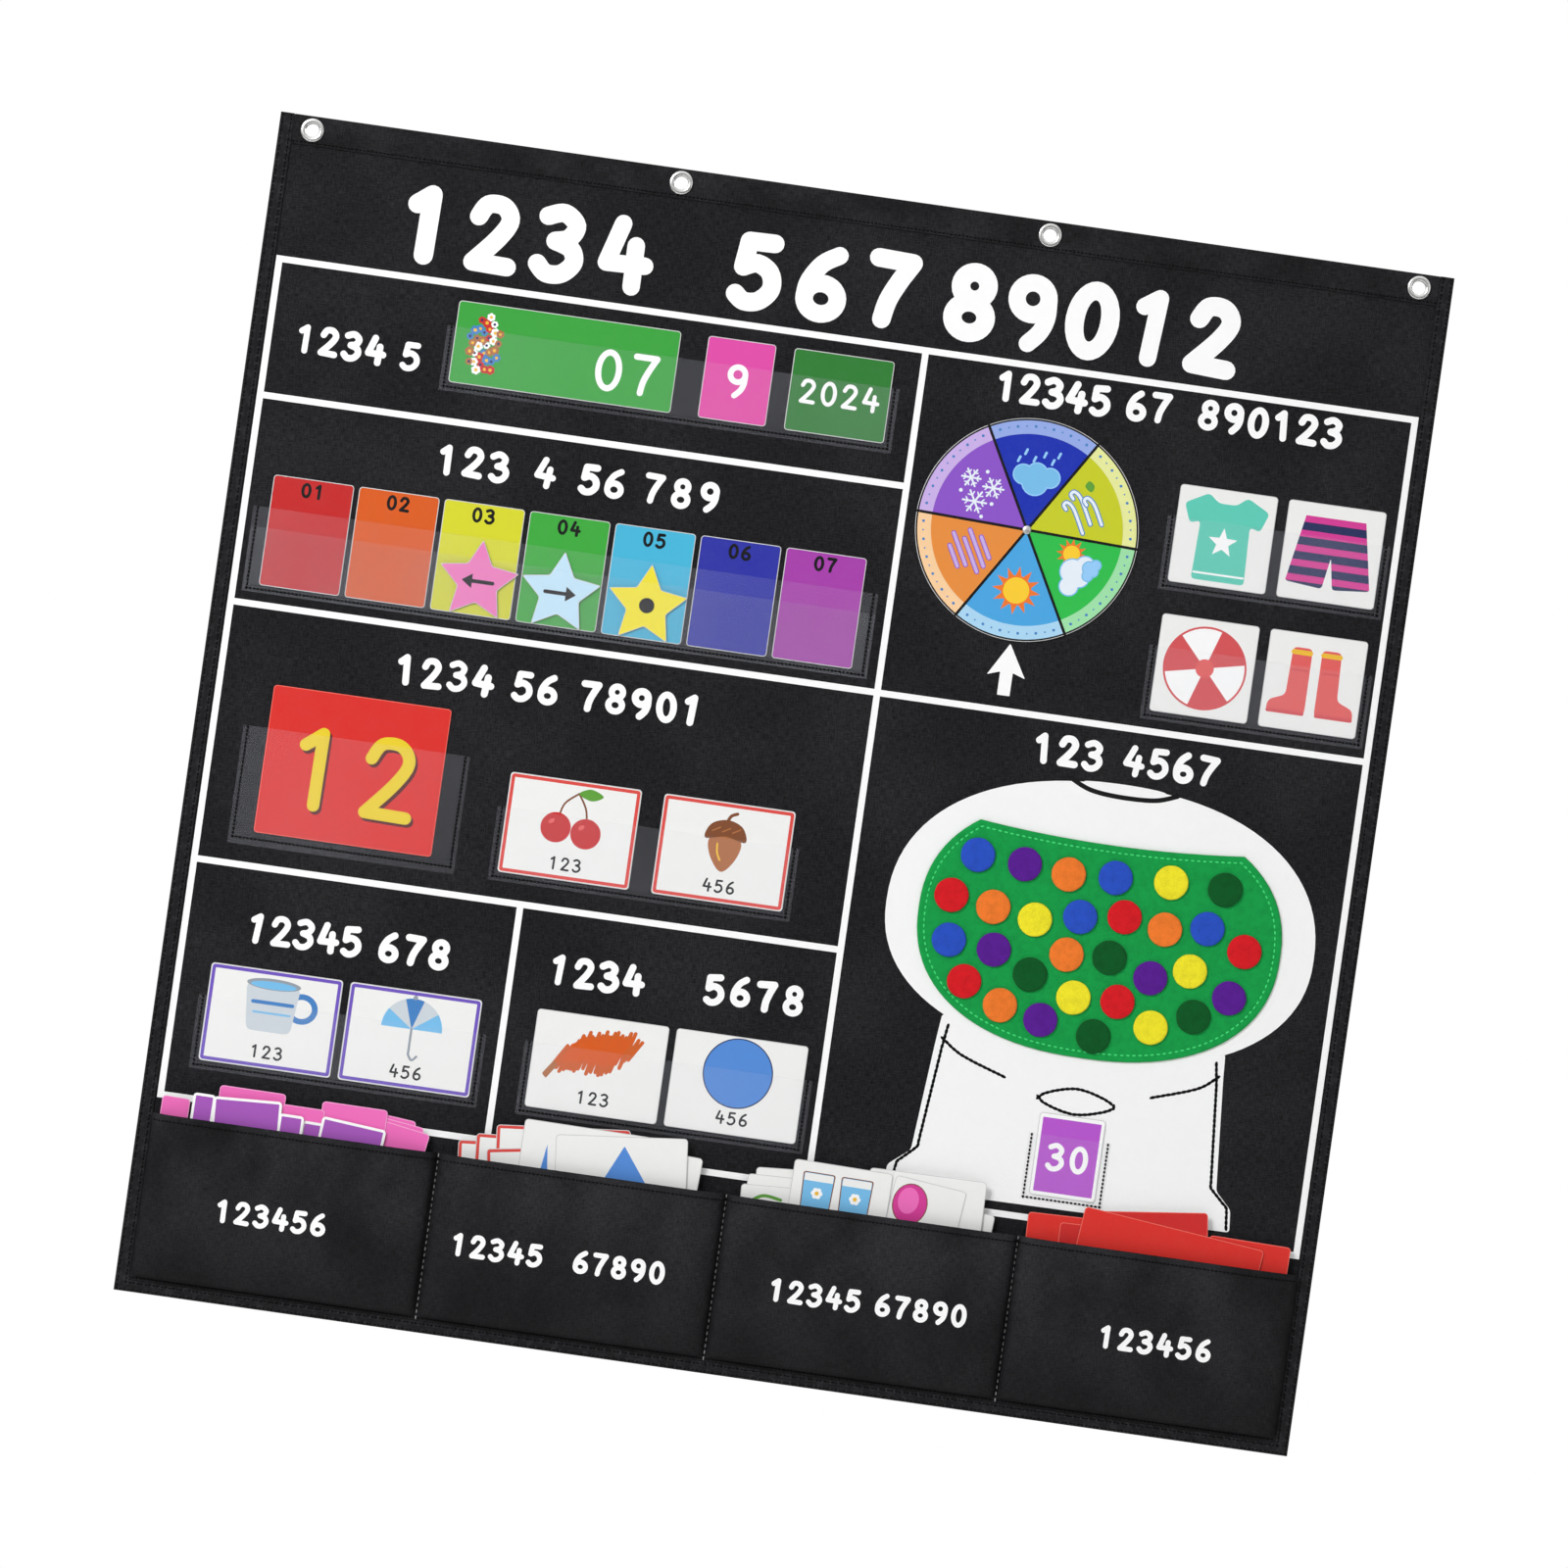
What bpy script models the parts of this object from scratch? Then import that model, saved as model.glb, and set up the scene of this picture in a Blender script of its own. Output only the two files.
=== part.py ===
# A calendar pocket chart for a wall: a bound fabric panel that hangs from four grommets,
# with clear film pockets for cards, a turning weather wheel, a felt board with counters
# and four storage pockets along the foot. Lengths are in metres.
#
# Places on the chart are measured from its top left corner, to the right and downwards.
# Depths are measured forwards from the wall, which touches the back of the grommets.
import math

import bmesh
import bpy
import numpy as np

# Chart
CHART_WIDTH = 0.800
CHART_HEIGHT = 0.803
FABRIC_THICKNESS = 0.0008
LAYER_GAP = 0.0003
CUT_OVERRUN = 0.002
MERGE_DISTANCE = 0.000001

# Edge binding and header band
SIDE_BINDING_WIDTH = 0.0095
BOTTOM_BINDING_WIDTH = 0.008
HEADER_DEPTH = 0.020

# Grommets
GROMMET_COUNT = 4
GROMMET_INSET = 0.0229
GROMMET_DROP = 0.0097
GROMMET_HOLE_RADIUS = 0.00465
GROMMET_FLANGE_RADIUS = 0.008
GROMMET_WALL = 0.0006
GROMMET_CROWN = 0.0006
GROMMET_CLEARANCE = 0.0003
GROMMET_STEPS = 24

# Clear film pockets and their seams
FILM_THICKNESS = 0.0003
SIDE_SEAM = 0.0036
FLOOR_SEAM = 0.0052
SEAM_SLOPE = 0.0006
SMALL_POCKET_HEIGHT = 0.050

# Rows of pockets on the left, downwards from the header band: the gap above each row's cards
# as a share of the height that the rows leave free. The rest of it is above the storage panel
ROW_GAP_SHARES = {"today": 0.2654, "weekday": 0.2153, "letter": 0.1783, "rhyme": 0.2424}

# The line between the left and the right column
COLUMN_LINE_SHARE = 0.5670

# Cards
CARD_THICKNESS = 0.0006
CARD_CORNER = 0.0022
CARD_CORNER_STEPS = 2
CARD_SIDE_ROOM = 0.0015

# Today row: month, date and year
TODAY_POCKET_LEFT = 0.1316
TODAY_POCKET_HEIGHT = 0.0439
TODAY_END_GAP = 0.0053
TODAY_CARD_HEIGHT = 0.0557
DATE_CARD_WIDTH = 0.0463
YEAR_CARD_WIDTH = 0.0681
MONTH_DATE_GAP = 0.0185
DATE_YEAR_GAP = 0.0125

# Weekday row and its stars
WEEKDAY_COUNT = 7
WEEKDAY_POCKET_LEFT = 0.0192
WEEKDAY_END_GAP = 0.0085
WEEKDAY_POCKET_HEIGHT = 0.0578
WEEKDAY_FRONT_HEIGHT = 0.0439
WEEKDAY_FLOOR_SEAM = 0.0043
WEEKDAY_SIDE_ROOM = 0.0067
WEEKDAY_CARD_HEIGHT = 0.0754
WEEKDAY_CARD_GAP = 0.0035
STAR_RADIUS = 0.0284
STAR_WAIST_SHARE = 0.50
STAR_POINTS = 5
STAR_LEFT_GAP = 0.0018
STAR_RIGHT_GAP = 0.0052

# Letter, picture, rhyme, colour and shape rows
LETTER_POCKET_LEFT = 0.0334
LETTER_POCKET_HEIGHT = 0.0802
LETTER_FLOOR_SEAM = 0.0085
LETTER_SIDE_ROOM = 0.0167
LETTER_CARD_WIDTH = 0.1210
LETTER_CARD_HEIGHT = 0.1005
PICTURE_POCKET_GAP = 0.0231
PICTURE_END_GAP = 0.0371
PICTURE_CARD_HEIGHT = 0.0682
PICTURE_CARD_GAP = 0.0152
RHYME_POCKET_LEFT = 0.0291
RHYME_POCKET_GAP = 0.0264
RHYME_END_GAP = 0.0063
RHYME_CARD_HEIGHT = 0.0666
RHYME_CARD_GAP = 0.0050

# Clothes rows beside the wheel
CLOTHES_END_GAP = 0.0077
CLOTHES_CARD_HEIGHT = 0.0663
CLOTHES_CARD_GAP = 0.0075
CLOTHES_ROW_GAP = 0.0158
CLOTHES_CARD_CORNER = 0.0006

# Weather wheel on its rivet
WHEEL_DROP_SHARE = 0.2599
WHEEL_RADIUS = 0.0755
WHEEL_THICKNESS = 0.0008
WHEEL_LINE_GAP = 0.0090
WHEEL_SIDE_GAP = 0.0175
WHEEL_STEPS = 48
RIVET_POST_RADIUS = 0.0016
RIVET_HEAD_RADIUS = 0.0030
RIVET_HEAD_HEIGHT = 0.0010
RIVET_WASHER_RADIUS = 0.0045
RIVET_CLEARANCE = 0.0003
RIVET_STEPS = 24

# Felt board, its counters and the number card below, across the right column. The gaps above
# the felt and above the card are shares of the height that both leave free there
COUNTING_PLACE_SHARE = 0.5082
FELT_GAP_SHARE = 0.5634
NUMBER_GAP_SHARE = 0.2697
FELT_HALF_WIDTH = 0.1232
FELT_HALF_HEIGHT = 0.0858
FELT_TOP_RISE = 0.0643
FELT_TOP_DIP = 0.0050
FELT_POWER = 2.3
FELT_SIDE_STEPS = 22
FELT_TOP_STEPS = 6
FELT_THICKNESS = 0.0015
COUNTER_RADIUS = 0.0115
COUNTER_THICKNESS = 0.0020
COUNTER_BOND = 0.0002
COUNTER_STEPS = 20
LOOSE_COUNTER_COUNT = 10
NUMBER_POCKET_HEIGHT = 0.0450
NUMBER_FLOOR_SEAM = 0.0030
NUMBER_CARD_WIDTH = 0.0450
NUMBER_CARD_HEIGHT = 0.0560

# Storage pockets along the foot
STORAGE_HEIGHT = 0.1143
STORAGE_SEAM = 0.0030
STORAGE_BULGE = 0.0132
STORAGE_SHOULDER = 0.0460
STORAGE_POWER = 3.0
STORAGE_STEPS = 4
STORAGE_MOUTH_SHARE = 0.92
STORAGE_DIVIDER_SHARES = (0.0, 0.2496, 0.5010, 0.7556, 1.0)
STORED_PEEK = 0.0335
STORED_BOND = 0.0001
STORED_CLEARANCE = 0.0006

# Counters: across as a share of the felt's half width, down as a share of its height
COUNTER_PLACE_SHARES = (
    ("blue", -0.719, 0.160), ("purple", -0.457, 0.172), ("orange", -0.212, 0.190),
    ("blue", 0.045, 0.176), ("yellow", 0.350, 0.162), ("green", 0.648, 0.160),
    ("red", -0.832, 0.355), ("orange", -0.596, 0.382), ("yellow", -0.360, 0.412),
    ("blue", -0.117, 0.372), ("red", 0.124, 0.345), ("orange", 0.352, 0.375),
    ("blue", 0.582, 0.345), ("red", 0.800, 0.424), ("blue", -0.811, 0.556),
    ("purple", -0.560, 0.572), ("green", -0.345, 0.660), ("orange", -0.162, 0.548),
    ("green", 0.073, 0.535), ("purple", 0.310, 0.600), ("yellow", 0.520, 0.545),
    ("red", -0.697, 0.731), ("orange", -0.484, 0.815), ("purple", -0.254, 0.855),
    ("yellow", -0.092, 0.735), ("red", 0.150, 0.726), ("green", 0.573, 0.745),
    ("purple", 0.752, 0.640), ("green", 0.045, 0.895), ("yellow", 0.350, 0.820),
)

# Stored cards, back to front: middle and width as shares of the pocket's width, rise as a
# share of the peek above the pocket, and tilt in degrees, clockwise from the front
STORED_SETS_SHARES = (
    ("stored_calendar_cards", (
        (0.195, 0.330, 0.38, 0.0), (0.430, 0.440, 0.74, 0.0), (0.775, 0.370, 0.58, 6.0),
        (0.640, 0.350, 0.40, 3.0), (0.300, 0.400, 0.54, -2.0),
    )),
    ("stored_letter_cards", (
        (0.740, 0.320, 0.66, 2.5), (0.400, 0.420, 0.86, -5.0), (0.170, 0.210, 0.34, -5.0),
        (0.260, 0.260, 0.52, -4.0), (0.560, 0.560, 0.88, -2.0),
    )),
    ("stored_colour_cards", (
        (0.220, 0.300, 0.45, -2.0), (0.280, 0.340, 0.72, -2.0), (0.600, 0.500, 0.92, -3.0),
        (0.680, 0.420, 0.66, 5.0), (0.380, 0.338, 0.90, 0.0),
    )),
    ("stored_counting_cards", (
        (0.270, 0.480, 0.46, -2.0), (0.700, 0.480, 0.54, 1.0), (0.440, 0.430, 0.90, -7.0),
        (0.540, 0.640, 0.60, 6.0),
    )),
)

# Depths of the layers, forwards from the wall
HEADER_BACK_DEPTH = GROMMET_WALL + LAYER_GAP
BACKING_BACK_DEPTH = HEADER_BACK_DEPTH + FABRIC_THICKNESS + LAYER_GAP
BACKING_FRONT_DEPTH = BACKING_BACK_DEPTH + FABRIC_THICKNESS
BINDING_FRONT_DEPTH = BACKING_FRONT_DEPTH + LAYER_GAP + FABRIC_THICKNESS
SEWN_DEPTH = BACKING_FRONT_DEPTH + LAYER_GAP
CARD_ROOM = CARD_THICKNESS + LAYER_GAP
STAR_POCKET_SEAT = SEWN_DEPTH + FILM_THICKNESS + LAYER_GAP
STAR_DEPTH = SEWN_DEPTH + CARD_ROOM + FILM_THICKNESS + LAYER_GAP
STAR_POCKET_RISE = STAR_DEPTH + CARD_ROOM - STAR_POCKET_SEAT
FELT_FRONT_DEPTH = SEWN_DEPTH + FELT_THICKNESS
COUNTER_DEPTH = FELT_FRONT_DEPTH + LAYER_GAP
STORED_DEPTH = COUNTER_DEPTH + COUNTER_THICKNESS + LAYER_GAP
HEM_INSET = FABRIC_THICKNESS + LAYER_GAP

# Colours as red, green and blue from 0 to 255
BLACK_FABRIC = (35, 35, 38)
CLEAR_FILM = (150, 152, 155)
STEEL = (190, 192, 195)
FELT_GREEN = (20, 140, 65)
WHITE_CARD = (245, 245, 243)
WEEKDAY_COLOURS = (
    (198, 36, 38), (222, 100, 35), (222, 220, 50), (60, 170, 60),
    (75, 190, 225), (45, 50, 165), (165, 50, 170),
)
STAR_COLOURS = {"pink": (235, 110, 175), "blue": (110, 190, 230), "yellow": (240, 225, 60)}
COUNTER_COLOURS = {
    "blue": (45, 85, 200), "purple": (90, 30, 150), "orange": (250, 125, 45),
    "yellow": (250, 235, 45), "green": (15, 90, 40), "red": (220, 30, 40),
}
STORED_COLOURS = {
    "stored_calendar_cards": (235, 95, 180),
    "stored_letter_cards": WHITE_CARD,
    "stored_colour_cards": WHITE_CARD,
    "stored_counting_cards": (215, 45, 40),
}


def clear_scene():
    for thing in list(bpy.data.objects):
        bpy.data.objects.remove(thing)


def linear(channel):
    value = channel / 255
    return value / 12.92 if value <= 0.04045 else ((value + 0.055) / 1.055) ** 2.4


def finish(name, colour, roughness=0.5, metallic=0.0, alpha=1.0):
    made = bpy.data.materials.new(name + "_finish")
    made.use_nodes = True
    shader = made.node_tree.nodes["Principled BSDF"]
    shader.inputs["Base Color"].default_value = (*(linear(channel) for channel in colour), 1.0)
    shader.inputs["Roughness"].default_value = roughness
    shader.inputs["Metallic"].default_value = metallic
    shader.inputs["Alpha"].default_value = alpha
    return made


def across(place):
    """World X of a distance from the chart's left edge."""
    return place - CHART_WIDTH / 2


def down(place):
    """World Z of a distance below the chart's top edge."""
    return GROMMET_DROP - place


def forward(depth):
    """World Y of a depth in front of the wall."""
    return -depth


def add(name, mesh, location, colour_finish, chart):
    """Turns a bmesh into a named object that hangs on the chart's empty."""
    bmesh.ops.recalc_face_normals(mesh, faces=mesh.faces[:])
    data = bpy.data.meshes.new(name)
    mesh.to_mesh(data)
    mesh.free()
    if colour_finish:
        data.materials.append(colour_finish)
    made = bpy.data.objects.new(name, data)
    made.location = location
    made.parent = chart
    bpy.context.scene.collection.objects.link(made)
    return made


def smooth(thing, angle=35):
    thing.data.shade_smooth()
    thing.data.set_sharp_from_angle(angle=math.radians(angle))


def thicken(mesh, thickness):
    """Draws every face forwards, which closes an open sheet into a solid."""
    drawn = bmesh.ops.extrude_face_region(mesh, geom=mesh.faces[:], use_keep_orig=True)
    moved = [item for item in drawn["geom"] if isinstance(item, bmesh.types.BMVert)]
    bmesh.ops.translate(mesh, verts=moved, vec=(0, forward(thickness), 0))


def plate(name, outline, thickness, location, colour_finish, chart):
    """A flat sheet of the outline, with its back at the location's depth."""
    mesh = bmesh.new()
    mesh.faces.new([mesh.verts.new((x, 0, z)) for x, z in outline])
    thicken(mesh, thickness)
    return add(name, mesh, location, colour_finish, chart)


def turned(name, profile, steps, location, colour_finish, chart):
    """A closed section of (radius, depth) points, spun about the line that runs forwards."""
    mesh = bmesh.new()
    ring = [mesh.verts.new((radius, forward(depth), 0)) for radius, depth in profile]
    edges = [mesh.edges.new((a, b)) for a, b in zip(ring, ring[1:] + ring[:1])]
    bmesh.ops.spin(mesh, geom=ring + edges, cent=(0, 0, 0), axis=(0, 1, 0),
                   angle=math.tau, steps=steps, use_merge=True)
    bmesh.ops.remove_doubles(mesh, verts=mesh.verts[:], dist=MERGE_DISTANCE)
    made = add(name, mesh, location, colour_finish, chart)
    smooth(made)
    return made


def sewn_sheet(name, grid, seat, rise, thickness, location, colour_finish, chart):
    """A sheet over a grid that lies flat at its seams and stands off by the rise between
    them. The grid holds two rows of (place, share of the rise): across and upwards."""
    columns, rows = grid
    mesh = bmesh.new()
    points = [
        [mesh.verts.new((x, forward(seat + rise * lift_x * lift_z), z)) for x, lift_x in columns]
        for z, lift_z in rows
    ]
    for low, high in zip(points, points[1:]):
        for i in range(len(columns) - 1):
            mesh.faces.new((low[i], low[i + 1], high[i + 1], high[i]))
    bmesh.ops.triangulate(mesh, faces=mesh.faces[:])
    thicken(mesh, thickness)
    return add(name, mesh, location, colour_finish, chart)


def helper(thing):
    """Marks a shape that only cuts or joins another."""
    thing.hide_render = True
    thing.display_type = "WIRE"
    return thing


def combine(thing, other, operation):
    modifier = thing.modifiers.new(other.name, "BOOLEAN")
    modifier.object = other
    modifier.operation = operation
    modifier.solver = "EXACT"


def circle(radius, steps):
    turns = [math.tau * step / steps for step in range(steps)]
    return [(radius * math.cos(turn), radius * math.sin(turn)) for turn in turns]


def rounded_rectangle(width, height, corner):
    """Outline about the middle of the lower edge."""
    points = []
    for side, level, start in ((1, 1, 0), (-1, 1, 90), (-1, 0, 180), (1, 0, 270)):
        middle_x = side * (width / 2 - corner)
        middle_z = height - corner if level else corner
        for step in range(CARD_CORNER_STEPS + 1):
            turn = math.radians(start + 90 * step / CARD_CORNER_STEPS)
            points.append((middle_x + corner * math.cos(turn), middle_z + corner * math.sin(turn)))
    return points


def hole_cutters(name, places, radius, chart):
    """One shape with a rod through the fabric at each place."""
    mesh = bmesh.new()
    for x, z in places:
        rod = [mesh.verts.new((x + a, CUT_OVERRUN, z + b)) for a, b in circle(radius, GROMMET_STEPS)]
        mesh.faces.new(rod)
    thicken(mesh, BINDING_FRONT_DEPTH + 2 * CUT_OVERRUN)
    return helper(add(name, mesh, (0, 0, 0), None, chart))


def grommet_places():
    spacing = (CHART_WIDTH - 2 * GROMMET_INSET) / (GROMMET_COUNT - 1)
    return [across(GROMMET_INSET + spacing * number) for number in range(GROMMET_COUNT)]


def column_line():
    return CHART_WIDTH * COLUMN_LINE_SHARE


def wheel_middle():
    return column_line() + WHEEL_LINE_GAP + WHEEL_RADIUS


def wheel_place():
    return across(wheel_middle()), down(CHART_HEIGHT * WHEEL_DROP_SHARE)


def counting_middle():
    """Middle of the felt board and its number card, across the right column."""
    line = column_line()
    return line + (CHART_WIDTH - SIDE_BINDING_WIDTH - line) * COUNTING_PLACE_SHARE


def storage_drop():
    """How far below the chart's top edge the storage panel begins."""
    return CHART_HEIGHT - BOTTOM_BINDING_WIDTH - LAYER_GAP - STORAGE_HEIGHT


def card_seat(floor_seam=FLOOR_SEAM):
    """From a pocket's foot to its cards, which stand just above the slope of the floor seam."""
    return floor_seam + SEAM_SLOPE + LAYER_GAP


def row_feet():
    """How far below the chart's top edge each row of pockets ends."""
    heights = {
        "today": card_seat() + TODAY_CARD_HEIGHT,
        "weekday": card_seat(WEEKDAY_FLOOR_SEAM) + WEEKDAY_CARD_HEIGHT,
        "letter": card_seat(LETTER_FLOOR_SEAM) + LETTER_CARD_HEIGHT,
        "rhyme": card_seat() + RHYME_CARD_HEIGHT,
    }
    free = storage_drop() - HEADER_DEPTH - sum(heights.values())
    drop = HEADER_DEPTH
    feet = {}
    for row, height in heights.items():
        drop += free * ROW_GAP_SHARES[row] + height
        feet[row] = drop
    return feet


def counting_drops():
    """How far below the chart's top edge the felt's middle and the number pocket's foot are."""
    start = row_feet()["weekday"]
    felt_height = FELT_TOP_RISE + FELT_HALF_HEIGHT
    number_height = card_seat(NUMBER_FLOOR_SEAM) + NUMBER_CARD_HEIGHT
    free = storage_drop() - start - felt_height - number_height
    felt_top = start + free * FELT_GAP_SHARE
    number_foot = felt_top + felt_height + free * NUMBER_GAP_SHARE + number_height
    return felt_top + FELT_TOP_RISE, number_foot


def make_backing(chart):
    """The main fabric panel, inside the fold of the binding and the header band."""
    half = CHART_WIDTH / 2 - HEM_INSET
    top = down(HEM_INSET)
    foot = down(CHART_HEIGHT - HEM_INSET)
    outline = [(-half, foot), (half, foot), (half, top), (-half, top)]
    backing = plate("backing_panel", outline, FABRIC_THICKNESS,
                    (0, forward(BACKING_BACK_DEPTH), 0), finish("backing", BLACK_FABRIC, 0.9), chart)
    cut_grommet_holes(backing, chart)
    post_hole = hole_cutters("rivet_hole", [wheel_place()], RIVET_POST_RADIUS + RIVET_CLEARANCE, chart)
    combine(backing, post_hole, "DIFFERENCE")


def cut_grommet_holes(thing, chart):
    barrel = GROMMET_HOLE_RADIUS + GROMMET_WALL + GROMMET_CLEARANCE
    holes = hole_cutters(thing.name + "_holes", [(x, 0) for x in grommet_places()], barrel, chart)
    combine(thing, holes, "DIFFERENCE")


def make_header(chart):
    """A strip folded over the top edge, between the side bindings."""
    half = CHART_WIDTH / 2 - SIDE_BINDING_WIDTH - LAYER_GAP
    fold = down(FABRIC_THICKNESS)
    hem = down(HEADER_DEPTH)
    back = forward(HEADER_BACK_DEPTH)
    front = forward(BINDING_FRONT_DEPTH)
    section = (
        (back, hem), (back, down(0)), (front, down(0)), (front, hem),
        (front + FABRIC_THICKNESS, hem), (front + FABRIC_THICKNESS, fold),
        (back - FABRIC_THICKNESS, fold), (back - FABRIC_THICKNESS, hem),
    )
    mesh = bmesh.new()
    face = mesh.faces.new([mesh.verts.new((-half, y, z)) for y, z in section])
    drawn = bmesh.ops.extrude_face_region(mesh, geom=[face], use_keep_orig=True)
    moved = [item for item in drawn["geom"] if isinstance(item, bmesh.types.BMVert)]
    bmesh.ops.translate(mesh, verts=moved, vec=(2 * half, 0, 0))
    header = add("header_band", mesh, (0, 0, 0), finish("header", BLACK_FABRIC, 0.9), chart)
    cut_grommet_holes(header, chart)


def make_binding(chart):
    """Tape folded round both sides and the foot: a U shaped plate with a slot for the panel."""
    half = CHART_WIDTH / 2
    inner = half - SIDE_BINDING_WIDTH
    foot = down(CHART_HEIGHT)
    sill = foot + BOTTOM_BINDING_WIDTH
    top = down(0)
    outline = [(-half, foot), (half, foot), (half, top), (inner, top),
               (inner, sill), (-inner, sill), (-inner, top), (-half, top)]
    binding = plate("edge_binding", outline, BINDING_FRONT_DEPTH - HEADER_BACK_DEPTH,
                    (0, forward(HEADER_BACK_DEPTH), 0), finish("binding", BLACK_FABRIC, 0.85), chart)
    slot_half = half - FABRIC_THICKNESS
    slot_foot = foot + FABRIC_THICKNESS
    slot_top = top - FABRIC_THICKNESS
    slot_outline = [(-slot_half, slot_foot), (slot_half, slot_foot),
                    (slot_half, slot_top), (-slot_half, slot_top)]
    slot = plate("binding_slot", slot_outline, FABRIC_THICKNESS + 2 * LAYER_GAP,
                 (0, forward(BACKING_BACK_DEPTH - LAYER_GAP), 0), None, chart)
    combine(binding, helper(slot), "DIFFERENCE")


def make_grommets(chart):
    """Eyelets clinched through the header band and the panel, with a crowned front flange."""
    hole = GROMMET_HOLE_RADIUS
    barrel = hole + GROMMET_WALL
    rim = GROMMET_FLANGE_RADIUS
    seat = BINDING_FRONT_DEPTH + LAYER_GAP
    middle = (barrel + rim) / 2
    profile = (
        (hole, 0), (rim, 0), (rim, GROMMET_WALL), (barrel, GROMMET_WALL),
        (barrel, seat), (rim, seat), (rim, seat + GROMMET_WALL / 2),
        (middle, seat + GROMMET_WALL + GROMMET_CROWN), (hole, seat + GROMMET_WALL),
    )
    for number, x in enumerate(grommet_places(), 1):
        turned(f"grommet_{number}", profile, GROMMET_STEPS, (x, 0, 0),
               finish(f"grommet_{number}", STEEL, 0.25, 1.0), chart)


def film_pocket(name, left, width, height, foot_drop, chart,
                floor_seam=FLOOR_SEAM, seat=SEWN_DEPTH, rise=CARD_ROOM):
    """Clear film sewn down along its sides and foot, open at the top."""
    columns = (
        (0, 0), (SIDE_SEAM, 0), (SIDE_SEAM + SEAM_SLOPE, 1),
        (width - SIDE_SEAM - SEAM_SLOPE, 1), (width - SIDE_SEAM, 0), (width, 0),
    )
    rows = ((0, 0), (floor_seam, 0), (floor_seam + SEAM_SLOPE, 1), (height, 1))
    sewn_sheet(name, (columns, rows), seat, rise, FILM_THICKNESS, (across(left), 0, down(foot_drop)),
               finish(name, CLEAR_FILM, 0.15, 0.0, 0.3), chart)


def card(name, left, width, height, floor, colour, chart, corner=CARD_CORNER):
    """A laminated card in a pocket, its object's origin at the middle of its lower edge."""
    outline = rounded_rectangle(width, height, corner)
    plate(name, outline, CARD_THICKNESS, (across(left + width / 2), forward(SEWN_DEPTH), floor),
          finish(name, colour, 0.35), chart)


def card_row(names, left, width, height, gap, side_room, floor, colours, chart, corner=CARD_CORNER):
    """Equal cards side by side across a pocket of the given width."""
    edge = SIDE_SEAM + SEAM_SLOPE + side_room
    each = (width - 2 * edge - gap * (len(names) - 1)) / len(names)
    for number, (name, colour) in enumerate(zip(names, colours)):
        card(name, left + edge + number * (each + gap), each, height, floor, colour, chart, corner)


def weekday_right():
    """Right edge of the weekday pocket, just left of the column line."""
    return column_line() - WEEKDAY_END_GAP


def make_today_row(chart):
    width = weekday_right() - TODAY_END_GAP - TODAY_POCKET_LEFT
    foot_drop = row_feet()["today"]
    film_pocket("today_pocket", TODAY_POCKET_LEFT, width, TODAY_POCKET_HEIGHT, foot_drop, chart)
    floor = down(foot_drop) + card_seat()
    edge = SIDE_SEAM + SEAM_SLOPE + CARD_SIDE_ROOM
    year_left = TODAY_POCKET_LEFT + width - edge - YEAR_CARD_WIDTH
    date_left = year_left - DATE_YEAR_GAP - DATE_CARD_WIDTH
    month_left = TODAY_POCKET_LEFT + edge
    month_width = date_left - MONTH_DATE_GAP - month_left
    height = TODAY_CARD_HEIGHT
    card("month_card", month_left, month_width, height, floor, (65, 170, 65), chart)
    card("date_card", date_left, DATE_CARD_WIDTH, height, floor, (235, 85, 175), chart)
    card("year_card", year_left, YEAR_CARD_WIDTH, height, floor, (55, 135, 55), chart)


def star_outline():
    points = []
    for step in range(2 * STAR_POINTS):
        radius = STAR_RADIUS * (STAR_WAIST_SHARE if step % 2 else 1)
        turn = math.pi / 2 + math.pi * step / STAR_POINTS
        points.append((radius * math.cos(turn), radius * math.sin(turn)))
    return points


def make_weekday_row(chart):
    """Seven cards behind one film, and three stars between it and a second, lower film."""
    left = WEEKDAY_POCKET_LEFT
    width = weekday_right() - left
    foot_drop = row_feet()["weekday"]
    film_pocket("weekday_pocket_back", left, width, WEEKDAY_POCKET_HEIGHT, foot_drop, chart,
                WEEKDAY_FLOOR_SEAM)
    film_pocket("weekday_pocket_front", left, width, WEEKDAY_FRONT_HEIGHT, foot_drop, chart,
                WEEKDAY_FLOOR_SEAM, STAR_POCKET_SEAT, STAR_POCKET_RISE)
    floor = down(foot_drop) + card_seat(WEEKDAY_FLOOR_SEAM)
    names = [f"weekday_card_{number}" for number in range(1, WEEKDAY_COUNT + 1)]
    card_row(names, left, width, WEEKDAY_CARD_HEIGHT, WEEKDAY_CARD_GAP, WEEKDAY_SIDE_ROOM, floor,
             WEEKDAY_COLOURS, chart)
    foot_of_star = STAR_RADIUS * math.cos(math.pi / STAR_POINTS)
    star_width = 2 * STAR_RADIUS * math.cos(math.pi / STAR_POINTS / 2)
    middle = left + width / 2
    star_places = {
        "pink": middle - star_width - STAR_LEFT_GAP,
        "blue": middle,
        "yellow": middle + star_width + STAR_RIGHT_GAP,
    }
    for colour_name, star_place in star_places.items():
        place = (across(star_place), forward(STAR_DEPTH), floor + foot_of_star)
        plate(f"star_{colour_name}", star_outline(), CARD_THICKNESS, place,
              finish(f"star_{colour_name}", STAR_COLOURS[colour_name], 0.4), chart)


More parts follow.
